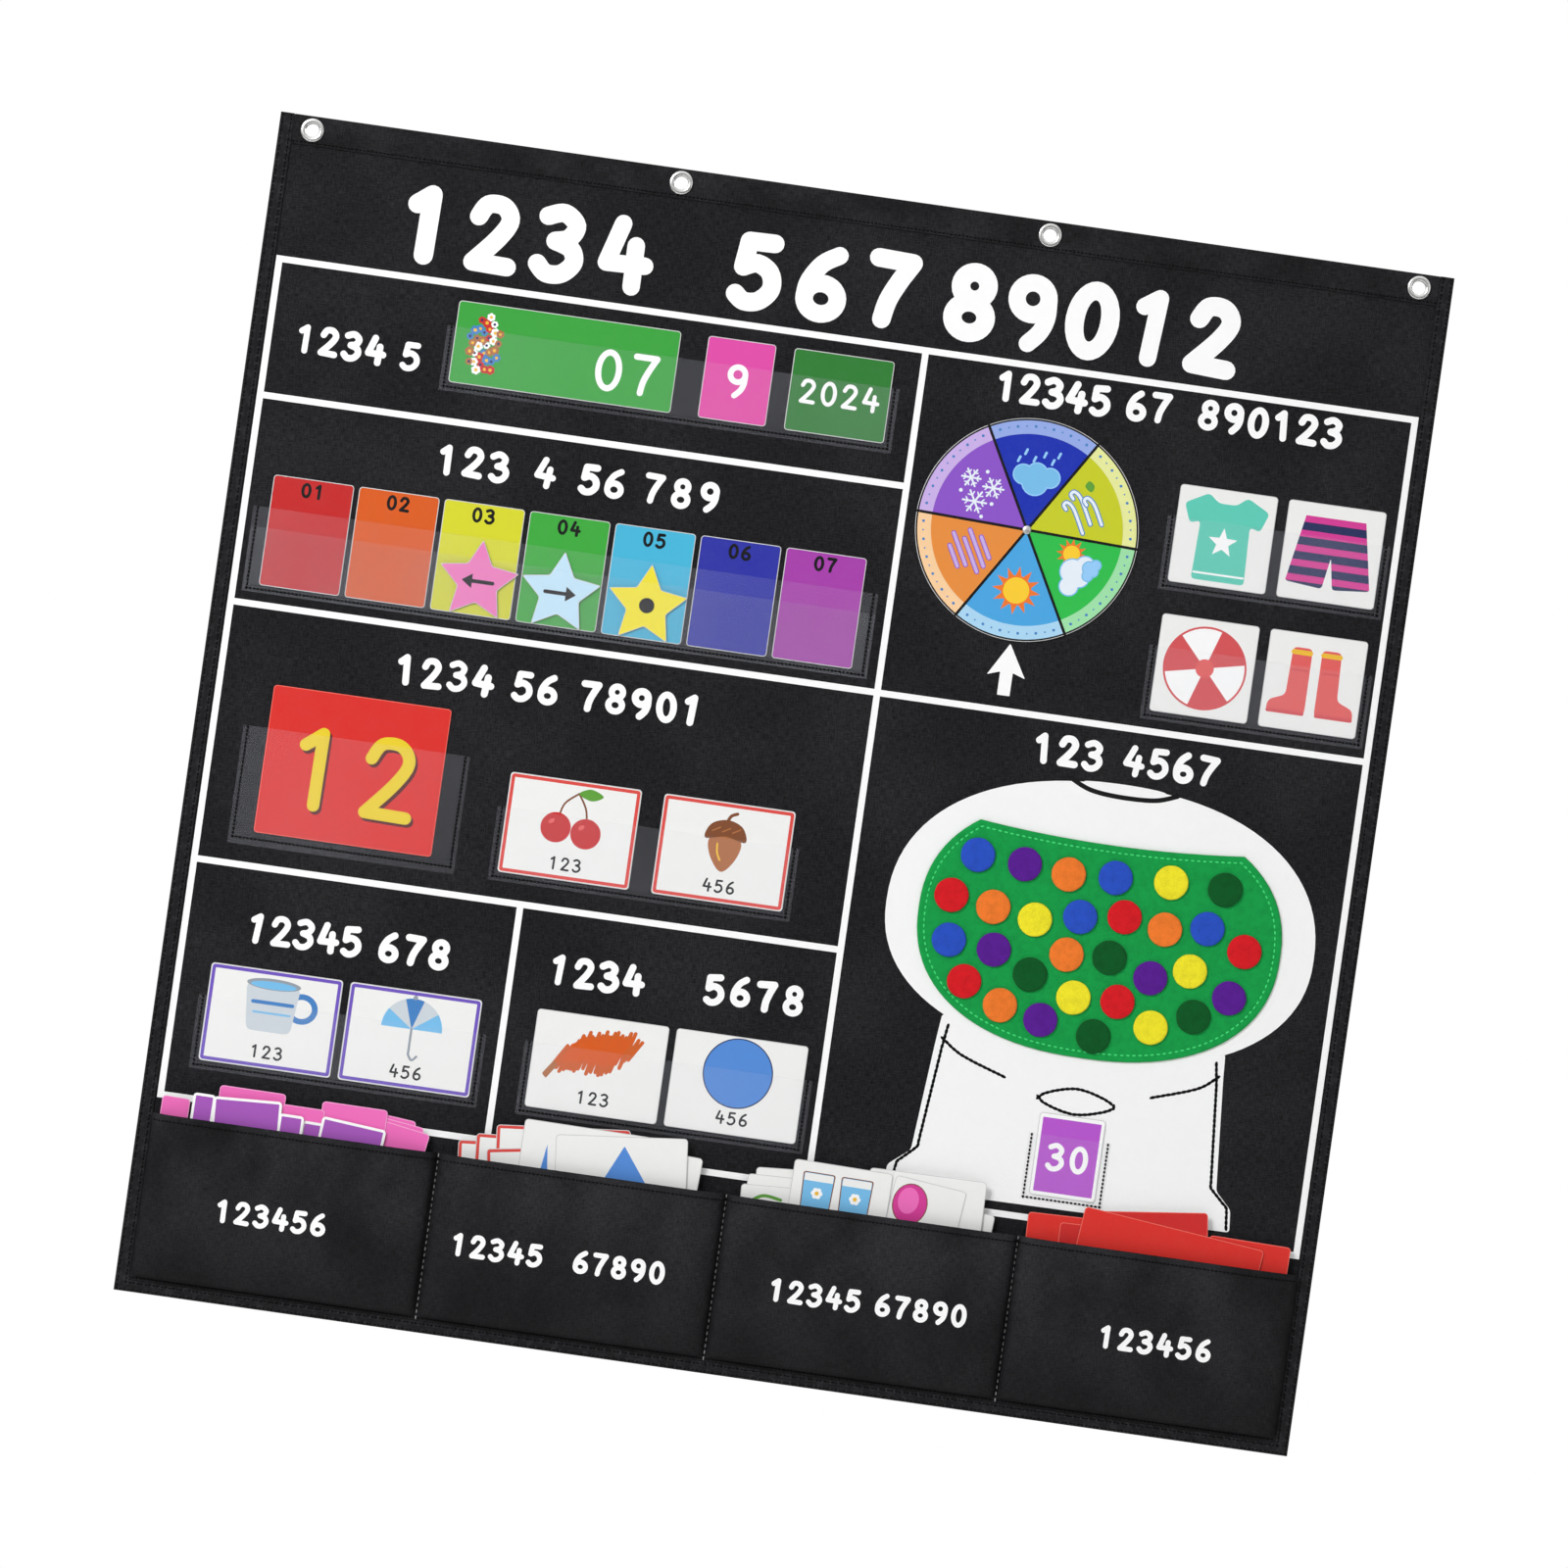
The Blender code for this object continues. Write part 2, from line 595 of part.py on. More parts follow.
def make_letter_row(chart):
    letter_width = LETTER_CARD_WIDTH + 2 * LETTER_SIDE_ROOM
    foot_drop = row_feet()["letter"]
    foot = down(foot_drop)
    film_pocket("letter_pocket", LETTER_POCKET_LEFT, letter_width, LETTER_POCKET_HEIGHT, foot_drop,
                chart, LETTER_FLOOR_SEAM)
    card("letter_card", LETTER_POCKET_LEFT + LETTER_SIDE_ROOM, LETTER_CARD_WIDTH,
         LETTER_CARD_HEIGHT, foot + card_seat(LETTER_FLOOR_SEAM), (225, 50, 45), chart)
    left = LETTER_POCKET_LEFT + letter_width + PICTURE_POCKET_GAP
    width = column_line() - PICTURE_END_GAP - left
    film_pocket("picture_pocket", left, width, SMALL_POCKET_HEIGHT, foot_drop, chart)
    card_row(("picture_card_1", "picture_card_2"), left, width, PICTURE_CARD_HEIGHT,
             PICTURE_CARD_GAP, CARD_SIDE_ROOM, foot + card_seat(), (WHITE_CARD,) * 2, chart)


def make_rhyme_row(chart):
    left = RHYME_POCKET_LEFT
    right = column_line() - RHYME_END_GAP
    foot_drop = row_feet()["rhyme"]
    width = (right - left - RHYME_POCKET_GAP) / 2
    rows = (
        ("rhyme_pocket", left, ("rhyme_card_1", "rhyme_card_2")),
        ("colour_shape_pocket", right - width, ("colour_card", "shape_card")),
    )
    for name, pocket_left, cards in rows:
        film_pocket(name, pocket_left, width, SMALL_POCKET_HEIGHT, foot_drop, chart)
        card_row(cards, pocket_left, width, RHYME_CARD_HEIGHT, RHYME_CARD_GAP, CARD_SIDE_ROOM,
                 down(foot_drop) + card_seat(), (WHITE_CARD,) * 2, chart)


def make_clothes_rows(chart):
    """Two rows beside the wheel, the lower one in line with the weekday row."""
    left = wheel_middle() + WHEEL_RADIUS + WHEEL_SIDE_GAP
    width = CHART_WIDTH - SIDE_BINDING_WIDTH - CLOTHES_END_GAP - left
    lower_drop = row_feet()["weekday"]
    upper_drop = lower_drop - card_seat() - CLOTHES_CARD_HEIGHT - CLOTHES_ROW_GAP
    for level, foot_drop, first in (("upper", upper_drop, 1), ("lower", lower_drop, 3)):
        film_pocket(f"clothes_pocket_{level}", left, width, SMALL_POCKET_HEIGHT, foot_drop, chart)
        names = (f"clothes_card_{first}", f"clothes_card_{first + 1}")
        card_row(names, left, width, CLOTHES_CARD_HEIGHT, CLOTHES_CARD_GAP, CARD_SIDE_ROOM,
                 down(foot_drop) + card_seat(), (WHITE_CARD,) * 2, chart, CLOTHES_CARD_CORNER)


def make_weather_wheel(chart):
    """A card disc that turns on a rivet through the panel."""
    x, z = wheel_place()
    bore = RIVET_POST_RADIUS + RIVET_CLEARANCE
    wheel_front = SEWN_DEPTH + WHEEL_THICKNESS
    section = ((bore, 0), (WHEEL_RADIUS, 0), (WHEEL_RADIUS, WHEEL_THICKNESS), (bore, WHEEL_THICKNESS))
    turned("weather_wheel", section, WHEEL_STEPS, (x, forward(SEWN_DEPTH), z),
           finish("weather_wheel", (95, 150, 220), 0.35), chart)
    head_back = wheel_front + LAYER_GAP
    washer_front = BACKING_BACK_DEPTH - LAYER_GAP
    washer_back = washer_front - FABRIC_THICKNESS
    rivet = (
        (0, washer_back), (RIVET_WASHER_RADIUS, washer_back), (RIVET_WASHER_RADIUS, washer_front),
        (RIVET_POST_RADIUS, washer_front), (RIVET_POST_RADIUS, head_back),
        (RIVET_HEAD_RADIUS, head_back), (RIVET_HEAD_RADIUS, head_back + RIVET_HEAD_HEIGHT / 3),
        (RIVET_HEAD_RADIUS * 2 / 3, head_back + RIVET_HEAD_HEIGHT * 5 / 6),
        (0, head_back + RIVET_HEAD_HEIGHT),
    )
    turned("wheel_rivet", rivet, RIVET_STEPS, (x, 0, z), finish("wheel_rivet", STEEL, 0.3, 1.0), chart)


def felt_outline():
    """A rounded barrel shape, cut across its top with a slight dip."""
    cut = (FELT_TOP_RISE / FELT_HALF_HEIGHT) ** (FELT_POWER / 2)
    start = math.asin(cut)
    sweep = math.pi + 2 * start
    points = []
    for step in range(FELT_SIDE_STEPS + 1):
        turn = start - sweep * step / FELT_SIDE_STEPS
        reach = abs(math.cos(turn)) ** (2 / FELT_POWER)
        height = abs(math.sin(turn)) ** (2 / FELT_POWER)
        points.append((math.copysign(reach, math.cos(turn)) * FELT_HALF_WIDTH,
                       math.copysign(height, math.sin(turn)) * FELT_HALF_HEIGHT))
    corner = -points[-1][0]
    for step in range(1, FELT_TOP_STEPS):
        share = 2 * step / FELT_TOP_STEPS - 1
        points.append((corner * share, FELT_TOP_RISE - FELT_TOP_DIP * (1 - share ** 2)))
    return points


def make_counting_board(chart):
    """The felt with its counters. The counters past the first ten are part of its solid."""
    x = across(counting_middle())
    z = down(counting_drops()[0])
    felt = plate("counting_felt", felt_outline(), FELT_THICKNESS, (x, forward(SEWN_DEPTH), z),
                 finish("counting_felt", FELT_GREEN, 0.95), chart)
    fixed = bmesh.new()
    disc = circle(COUNTER_RADIUS, COUNTER_STEPS)
    for number, (colour_name, share_x, share_z) in enumerate(COUNTER_PLACE_SHARES, 1):
        place_x = x + share_x * FELT_HALF_WIDTH
        place_z = z + FELT_TOP_RISE - share_z * (FELT_TOP_RISE + FELT_HALF_HEIGHT)
        if number <= LOOSE_COUNTER_COUNT:
            name = f"counter_{number:02d}_{colour_name}"
            plate(name, disc, COUNTER_THICKNESS, (place_x, forward(COUNTER_DEPTH), place_z),
                  finish(name, COUNTER_COLOURS[colour_name], 0.8), chart)
        else:
            back = forward(FELT_FRONT_DEPTH - COUNTER_BOND)
            fixed.faces.new([fixed.verts.new((place_x + a, back, place_z + b)) for a, b in disc])
    thicken(fixed, COUNTER_BOND + LAYER_GAP + COUNTER_THICKNESS)
    combine(felt, helper(add("fixed_counters", fixed, (0, 0, 0), None, chart)), "UNION")


def make_number_card(chart):
    edge = SIDE_SEAM + SEAM_SLOPE + CARD_SIDE_ROOM
    middle = counting_middle()
    width = NUMBER_CARD_WIDTH + 2 * edge
    foot_drop = counting_drops()[1]
    film_pocket("number_pocket", middle - width / 2, width, NUMBER_POCKET_HEIGHT, foot_drop, chart,
                NUMBER_FLOOR_SEAM)
    card("number_card", middle - NUMBER_CARD_WIDTH / 2, NUMBER_CARD_WIDTH, NUMBER_CARD_HEIGHT,
         down(foot_drop) + card_seat(NUMBER_FLOOR_SEAM), (165, 85, 195), chart)


def storage_top():
    return down(storage_drop())


def storage_foot():
    """The storage panel's lower edge, just above the binding."""
    return down(storage_drop() + STORAGE_HEIGHT)


def shoulder_steps():
    """Offsets from a seam with the share of the bulge there, along a rounded shoulder."""
    steps = []
    for step in range(STORAGE_STEPS + 1):
        turn = math.pi / 2 * step / STORAGE_STEPS
        offset = STORAGE_SHOULDER * (1 - math.cos(turn) ** (2 / STORAGE_POWER))
        steps.append((offset, math.sin(turn) ** (2 / STORAGE_POWER)))
    return steps


def shoulder_share(offset):
    """Share of the bulge at an offset from a seam."""
    offsets, shares = zip(*shoulder_steps())
    return float(np.interp(offset, offsets, shares))


def shoulder_offset(share):
    """Offset from a seam where the bulge reaches a share of its depth."""
    offsets, shares = zip(*shoulder_steps())
    return float(np.interp(share, shares, offsets))


def storage_seams():
    """Both edges of each storage pocket, inside its seams."""
    inner = CHART_WIDTH - 2 * (SIDE_BINDING_WIDTH + LAYER_GAP)
    start = SIDE_BINDING_WIDTH + LAYER_GAP
    edges = [across(start + inner * share) for share in STORAGE_DIVIDER_SHARES]
    half = STORAGE_SEAM / 2
    return [(left + half, right - half) for left, right in zip(edges, edges[1:])]


def make_storage_panel(chart):
    """One fabric panel, sewn down in four bulging pockets with open mouths."""
    seams = storage_seams()
    half = STORAGE_SEAM / 2
    columns = [(seams[0][0] - half, 0)]
    for left, right in seams:
        columns += [(left + offset, share) for offset, share in shoulder_steps()]
        columns += [(right - offset, share) for offset, share in reversed(shoulder_steps())]
    columns.append((seams[-1][1] + half, 0))
    foot = storage_foot()
    rows = [(foot, 0)]
    rows += [(foot + STORAGE_SEAM + offset, share) for offset, share in shoulder_steps()]
    rows.append((storage_top(), STORAGE_MOUTH_SHARE))
    sewn_sheet("storage_pocket_panel", (columns, rows), SEWN_DEPTH, STORAGE_BULGE,
               FABRIC_THICKNESS, (0, 0, 0), finish("storage", (30, 30, 32), 0.9), chart)


def stored_floor(pocket, x, front):
    """How high above the floor seam a card's corner stands, where the fabric clears its front."""
    left, right = pocket
    reach = STORAGE_BULGE * shoulder_share(min(x - left, right - x))
    return shoulder_offset((front - SEWN_DEPTH) / reach) + STORED_CLEARANCE


def stored_card_mesh(pocket, shares, depth):
    """One stored card: it leans by its tilt and stands on the pocket's rounded floor."""
    left, right = pocket
    middle_share, width_share, rise_share, tilt = shares
    width = (right - left) * width_share
    turn = math.radians(tilt)
    top_x = left + (right - left) * middle_share
    top_z = storage_top() + STORED_PEEK * rise_share
    seam_z = storage_foot() + STORAGE_SEAM
    foot_x = top_x - (top_z - seam_z) * math.tan(turn)
    half = math.copysign(width / 2, turn)
    front = depth + CARD_THICKNESS + LAYER_GAP
    slant = width * math.sin(abs(turn))
    low_corner = stored_floor(pocket, foot_x + half, front)
    high_corner = stored_floor(pocket, foot_x - half, front) - slant
    floor = seam_z + max(low_corner, high_corner)
    height = (top_z - floor - slant / 2) / math.cos(turn)
    mesh = bmesh.new()
    corners = []
    for a, b in rounded_rectangle(width, height, CARD_CORNER):
        drop = height - b
        x = top_x + a * math.cos(turn) - drop * math.sin(turn)
        z = top_z - a * math.sin(turn) - drop * math.cos(turn)
        corners.append(mesh.verts.new((x, forward(depth), z)))
    mesh.faces.new(corners)
    thicken(mesh, CARD_THICKNESS)
    return mesh


def make_stored_sets(chart):
    """Each pocket's fanned cards, made one solid."""
    for pocket, (name, cards) in zip(storage_seams(), STORED_SETS_SHARES):
        depth = STORED_DEPTH
        fan = add(name, stored_card_mesh(pocket, cards[0], depth), (0, 0, 0),
                  finish(name, STORED_COLOURS[name], 0.4), chart)
        for number, shares in enumerate(cards[1:], 2):
            depth += CARD_THICKNESS - STORED_BOND
            other = add(f"{name}_{number}", stored_card_mesh(pocket, shares, depth), (0, 0, 0),
                        None, chart)
            combine(fan, helper(other), "UNION")


def build_chart():
    clear_scene()
    chart = bpy.data.objects.new("calendar_pocket_chart", None)
    bpy.context.scene.collection.objects.link(chart)
    make_backing(chart)
    make_header(chart)
    make_binding(chart)
    make_grommets(chart)
    make_today_row(chart)
    make_weekday_row(chart)
    make_letter_row(chart)
    make_rhyme_row(chart)
    make_clothes_rows(chart)
    make_weather_wheel(chart)
    make_counting_board(chart)
    make_number_card(chart)
    make_storage_panel(chart)
    make_stored_sets(chart)


build_chart()
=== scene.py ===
import math
import random
from collections import Counter

import bmesh
import bpy
import numpy as np
from mathutils import Matrix, Vector, noise
from mathutils.geometry import delaunay_2d_cdt


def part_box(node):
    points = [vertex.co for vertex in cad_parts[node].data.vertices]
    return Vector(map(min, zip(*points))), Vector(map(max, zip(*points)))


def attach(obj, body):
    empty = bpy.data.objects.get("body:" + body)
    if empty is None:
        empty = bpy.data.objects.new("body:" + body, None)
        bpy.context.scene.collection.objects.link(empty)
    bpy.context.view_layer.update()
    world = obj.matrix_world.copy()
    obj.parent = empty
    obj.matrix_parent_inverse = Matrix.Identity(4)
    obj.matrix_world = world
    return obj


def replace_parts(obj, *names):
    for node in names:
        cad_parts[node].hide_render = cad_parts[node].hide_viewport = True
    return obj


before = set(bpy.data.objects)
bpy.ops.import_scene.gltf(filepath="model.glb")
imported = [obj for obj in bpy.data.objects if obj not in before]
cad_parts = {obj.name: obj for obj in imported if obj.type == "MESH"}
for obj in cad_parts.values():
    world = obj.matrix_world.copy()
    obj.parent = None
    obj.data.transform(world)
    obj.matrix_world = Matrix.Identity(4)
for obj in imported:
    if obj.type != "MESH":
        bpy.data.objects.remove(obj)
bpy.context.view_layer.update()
mm = 0.001

# Places are in millimetres on the chart: to the right and down from its top left corner
chartLow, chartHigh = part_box("edge_binding")
panelLow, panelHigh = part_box("backing_panel")
panelFront = panelLow.y


def across(place):
    return chartLow.x + place * mm


def down(place):
    return chartHigh.z - place * mm


def middleOf(node):
    low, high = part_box(node)
    return (low + high) / 2


# Printing inks and card colours, red, green and blue from 0 to 255
inks = {
    "white": (253, 253, 253), "machineWhite": (248, 248, 248), "paper": (241, 241, 239),
    "rim": (210, 210, 210), "black": (10, 10, 12), "ink": (34, 32, 34), "shadow": (92, 30, 30),
    "grey": (150, 158, 168), "paleGrey": (205, 213, 220),
    "cardRed": (194, 38, 38), "cardOrange": (216, 92, 28), "cardYellow": (214, 214, 44),
    "cardGreen": (60, 168, 60), "cardCyan": (70, 182, 218), "cardBlue": (44, 50, 164),
    "cardPurple": (166, 62, 170), "monthGreen": (58, 162, 62), "yearGreen": (46, 124, 50),
    "datePink": (224, 76, 168), "letterRed": (218, 46, 40), "letterYellow": (234, 206, 44),
    "starPink": (233, 130, 190), "starBlue": (196, 228, 246), "starYellow": (240, 226, 60),
    "fruitRed": (200, 44, 44), "leafGreen": (96, 160, 60), "nutBrown": (176, 110, 66),
    "nutDark": (128, 76, 46), "borderRed": (222, 76, 70), "borderPurple": (112, 84, 190),
    "steelBlue": (70, 130, 195), "skyBlue": (120, 190, 235), "scribble": (206, 96, 38),
    "circleBlue": (84, 140, 216), "mint": (96, 205, 184), "navy": (38, 46, 92), "hotPink": (214, 60, 150),
    "buoyRed": (214, 84, 88), "salmon": (228, 98, 96), "gold": (240, 190, 60),
    "numberPurple": (184, 86, 206), "storedPink": (240, 110, 188), "storedPurple": (166, 88, 186),
    # the paler red and pink edge inks in the next two lines are painted highlights along the cards' edges
    "storedRed": (222, 48, 40), "storedDeep": (206, 42, 40), "redEdge": (240, 104, 92),
    "pinkEdge": (248, 168, 214), "wheelDeep": (24, 48, 176),
    "wheelDeepPale": (150, 172, 232), "wheelYellow": (200, 206, 38), "wheelYellowPale": (232, 236, 158),
    "wheelGreen": (46, 190, 76), "wheelGreenPale": (160, 226, 170), "wheelSky": (74, 166, 226),
    "wheelSkyPale": (172, 216, 244), "wheelOrange": (232, 142, 62), "wheelOrangePale": (250, 208, 160),
    "wheelPurple": (140, 84, 200), "wheelPurplePale": (202, 176, 232), "cloud": (232, 240, 250),
    "sun": (252, 206, 50), "sunRay": (240, 120, 44), "drop": (150, 205, 250),
    "feltGreen": (26, 164, 77), "blue": (46, 86, 202), "purple": (94, 34, 152), "orange": (252, 130, 50),
    "yellow": (253, 240, 48), "green": (16, 92, 40), "red": (224, 32, 40),
}


def linearInk(name):
    channels = []
    for channel in inks[name]:
        value = channel / 255
        channels.append(value / 12.92 if value <= 0.04045 else ((value + 0.055) / 1.055) ** 2.4)
    return (*channels, 1.0)


# Shader building
def feed(tree, socket, value):
    # a link where the value is another node's socket, a fixed value otherwise
    if isinstance(value, bpy.types.NodeSocket):
        tree.links.new(value, socket)
    else:
        socket.default_value = value


def addNode(tree, kind, inputs=(), **settings):
    # inputs are given by name, or in order from the first
    node = tree.nodes.new(kind)
    for name, value in settings.items():
        setattr(node, name, value)
    for key, value in inputs.items() if isinstance(inputs, dict) else enumerate(inputs):
        feed(tree, node.inputs[key], value)
    return node


def ofType(sockets, kind):
    return [socket for socket in sockets if socket.type == kind]


def mathNode(tree, operation, *values):
    return addNode(tree, "ShaderNodeMath", values, operation=operation).outputs[0]


def mapRange(tree, value, target, source=(0.0, 1.0), **settings):
    # carries a value from the source range over to the target range
    return addNode(tree, "ShaderNodeMapRange", (value, *source, *target), **settings).outputs[0]


def noiseNode(tree, place, detail, scale=1.0, distortion=0.0):
    inputs = {"Vector": place, "Scale": scale, "Detail": detail, "Distortion": distortion}
    return addNode(tree, "ShaderNodeTexNoise", inputs).outputs[0]


def splitPlace(tree, output="Object"):
    place = addNode(tree, "ShaderNodeTexCoord").outputs[output]
    return addNode(tree, "ShaderNodeSeparateXYZ", (place,)).outputs


def attribute(tree, name):
    return addNode(tree, "ShaderNodeAttribute", attribute_name=name).outputs


def mixInks(tree, factor, first, second, **settings):
    # first and second are colours or colour sockets
    node = addNode(tree, "ShaderNodeMix", (factor,), data_type="RGBA", **settings)
    for socket, value in zip(ofType(node.inputs, "RGBA"), (first, second)):
        feed(tree, socket, value)
    return ofType(node.outputs, "RGBA")[0]


def bump(tree, height, distance):
    return addNode(tree, "ShaderNodeBump", {"Height": height, "Distance": distance}).outputs[0]


def layOut(tree):
    # the nodes in columns, by the number of links between each and the output
    columns = {node.name: 0 for node in tree.nodes}
    for _ in tree.nodes:
        for link in tree.links:
            before, after = link.from_node.name, link.to_node.name
            columns[before] = max(columns[before], columns[after] + 1)
    rows = {}
    for node in tree.nodes:
        column = columns[node.name]
        node.location = (-220 * column, -280 * rows.get(column, 0))
        rows[column] = rows.get(column, 0) + 1
    return tree


def newGroup(name, inputs, outputs):
    # inputs are floats with their usual values, outputs the names of floats
    tree = bpy.data.node_groups.new(name, "ShaderNodeTree")
    for socketName, value in inputs.items():
        made = tree.interface.new_socket(name=socketName, in_out="INPUT", socket_type="NodeSocketFloat")
        made.default_value = value
    for socketName in outputs:
        tree.interface.new_socket(name=socketName, in_out="OUTPUT", socket_type="NodeSocketFloat")
    return tree, addNode(tree, "NodeGroupInput").outputs


def makeWeaveGroup():
    # plain weave over the chart's plane: warp and weft lie over each other in turn, each with its own slubs
    tree, source = newGroup("plainWeave", {"Thread Pitch": 0.0005, "Slub": 0.3}, ("Height", "Tone"))
    slubScale = {"across": 0.8, "along": 0.11}  # how fast a slub changes, for one thread pitch
    parts = splitPlace(tree)
    steps = [mathNode(tree, "DIVIDE", parts[axis], source["Thread Pitch"]) for axis in ("X", "Z")]
    waves = [mathNode(tree, "SINE", mathNode(tree, "MULTIPLY", step, math.pi)) for step in steps]
    crossed = mathNode(tree, "MULTIPLY", *waves)
    slubs = []
    for thread in (0, 1):
        stretched = [mathNode(tree, "MULTIPLY", step, slubScale["across" if axis == thread else "along"])
                     for axis, step in enumerate(steps)]
        slubs.append(noiseNode(tree, addNode(tree, "ShaderNodeCombineXYZ", stretched).outputs[0], 2))
    warpOnTop = mathNode(tree, "GREATER_THAN", crossed, 0.0)
    tone = addNode(tree, "ShaderNodeMix", {"Factor": warpOnTop, "A": slubs[0], "B": slubs[1]}).outputs[0]
    height = mathNode(tree, "ADD", mathNode(tree, "ABSOLUTE", crossed),
                      mathNode(tree, "MULTIPLY", tone, source["Slub"]))
    addNode(tree, "NodeGroupOutput", {"Height": height, "Tone": tone})
    return layOut(tree)


def makeCloudGroup():
    # soft patches, such as rubbed cloth, painted sheen on the storage cloth, painted reflection with haze on
    # film, or an uneven print
    tree, source = newGroup("softPatches", {"Patch Size": 0.05, "Low": 0.4, "High": 0.6, "Stretch": 1.0},
                            ("Mask",))
    parts = splitPlace(tree)
    wide, tall = [mathNode(tree, "DIVIDE", parts[axis], source["Patch Size"]) for axis in ("X", "Z")]
    place = addNode(tree, "ShaderNodeCombineXYZ", (wide, mathNode(tree, "MULTIPLY", tall, source["Stretch"])))
    mask = mapRange(tree, noiseNode(tree, place.outputs[0], 4), (0.0, 1.0), (source["Low"], source["High"]),
                    interpolation_type="SMOOTHSTEP")
    addNode(tree, "NodeGroupOutput", {"Mask": mask})
    return layOut(tree)


def makeFibreGroup():
    # matted fibres of felt, paper or thread fuzz
    tree, source = newGroup("mattedFibres", {"Fibre Size": 0.0008, "Matting": 2.0}, ("Height", "Tone"))
    place = addNode(tree, "ShaderNodeTexCoord").outputs["Object"]
    scale = mathNode(tree, "DIVIDE", 1.0, source["Fibre Size"])
    fine = noiseNode(tree, place, 5, scale, source["Matting"])
    broad = noiseNode(tree, place, 3, mathNode(tree, "MULTIPLY", scale, 0.2))
    tone = mathNode(tree, "MULTIPLY", mathNode(tree, "ADD", fine, broad), 0.5)
    addNode(tree, "NodeGroupOutput", {"Height": fine, "Tone": tone})
    return layOut(tree)


groups = {"weave": makeWeaveGroup(), "patches": makeCloudGroup(), "fibres": makeFibreGroup()}


def asSockets(values):
    # socket names have spaces where an argument has underscores
    return {name.replace("_", " "): value for name, value in values.items()}


def useGroup(tree, name, **values):
    return addNode(tree, "ShaderNodeGroup", asSockets(values), node_tree=groups[name]).outputs


def newFinish(name):
    made = bpy.data.materials.new(name)
    made.use_nodes = True
    return made, made.node_tree


def setSurface(tree, **values):
    # what the finish gives to the Principled shader, fixed or from other nodes
    shader = tree.nodes["Principled BSDF"]
    for name, value in asSockets(values).items():
        feed(tree, shader.inputs[name], value)
    layOut(tree)


def makeClothFinish(look):
    made, tree = newFinish(look["name"])
    weave = useGroup(tree, "weave", Thread_Pitch=look["pitch"], Slub=0.5)
    patches = useGroup(tree, "patches", Patch_Size=look["patch"], Low=look["low"], High=look["high"],
                       Stretch=look["stretch"])["Mask"]
    paleShare = patches
    if "wearAndPaintedSheen" in look:  # painted sheen: the cloth is paler towards the pockets' mouths, as where it bulges towards the light
        foot, mouth, least, most = look["wearAndPaintedSheen"]
        wearAndPaintedSheen = mapRange(tree, splitPlace(tree)["Z"], (least, most), (foot, mouth))
        paleShare = mathNode(tree, "MULTIPLY", patches, wearAndPaintedSheen)
    base = mixInks(tree, paleShare, look["dark"], look["pale"])
    if "crest" in look:  # painted highlight: the crests of the puckers are paler, as where light catches them
        base = mixInks(tree, attribute(tree, "crest")["Fac"], base, look["crest"])
    grain = mapRange(tree, weave["Tone"], (1 - look["grain"], 1 + look["grain"]), (0.34, 0.66))
    shaded = addNode(tree, "ShaderNodeVectorMath", {0: base, "Scale": grain}, operation="SCALE").outputs[0]
    rough = mapRange(tree, patches, (look["roughness"], look["roughness"] - 0.14))
    setSurface(tree, Base_Color=shaded, Roughness=rough, Specular_IOR_Level=0.1, Sheen_Weight=look["sheen"],
               Sheen_Roughness=0.5, Normal=bump(tree, weave["Height"], look["relief"]))
    return made


storageLow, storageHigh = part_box("storage_pocket_panel")
clothFinishes = {
    "panel": {"name": "wovenBlack", "dark": (0.0125, 0.0125, 0.0142, 1), "pale": (0.0170, 0.0170, 0.0190, 1),
              "pitch": 0.00055, "patch": 0.09, "low": 0.38, "high": 0.66, "stretch": 1.0, "grain": 0.8,
              "roughness": 0.9, "relief": 0.00012, "sheen": 0.06},
    "header": {"name": "smoothBlack", "dark": (0.0098, 0.0098, 0.0110, 1),
               "pale": (0.0168, 0.0168, 0.0188, 1), "pitch": 0.0006, "patch": 0.045, "low": 0.34,
               "high": 0.70, "stretch": 1.6, "grain": 0.7, "roughness": 0.82, "relief": 0.00006,
               "sheen": 0.04},
    "tape": {"name": "wovenTape", "dark": (0.0125, 0.0125, 0.0140, 1), "pale": (0.023, 0.023, 0.026, 1),
             "pitch": 0.0007, "patch": 0.0060, "low": 0.44, "high": 0.74, "stretch": 0.8, "grain": 0.4,
             "roughness": 0.84, "relief": 0.00014, "sheen": 0.05, "crest": (0.036, 0.036, 0.040, 1)},
    # the storage cloth's broad pale patches are partly random tone and partly painted sheen
    "storage": {"name": "coatedCloth", "dark": (0.0092, 0.0092, 0.0104, 1),
                "pale": (0.0268, 0.0268, 0.0296, 1), "pitch": 0.0005, "patch": 0.046, "low": 0.24,
                "high": 0.72, "stretch": 0.7, "grain": 0.55, "roughness": 0.8, "relief": 0.00009,
                # painted sheen, paler towards the mouth where the pockets bulge to the light: foot, mouth,
                # and the share at each
                "wearAndPaintedSheen": (storageLow.z, storageHigh.z, 0.25, 1.0), "sheen": 0.0},
}


def makeFilmFinish():
    # clear soft vinyl: a thin white layer in streaks over what lies behind it, partly real haze and partly
    # painted reflection of the bright room
    made, tree = newFinish("clearVinyl")
    hazeAndPaintedReflection = useGroup(tree, "patches", Patch_Size=0.12, Low=0.30, High=0.70, Stretch=0.6)["Mask"]
    ripple = useGroup(tree, "fibres", Fibre_Size=0.03, Matting=0.4)["Height"]
    setSurface(tree, Base_Color=(0.86, 0.88, 0.98, 1.0), Roughness=0.16, Specular_IOR_Level=0.5,
               Alpha=mapRange(tree, hazeAndPaintedReflection, (0.0200, 0.0325)), Normal=bump(tree, ripple, 0.0006))
    return made


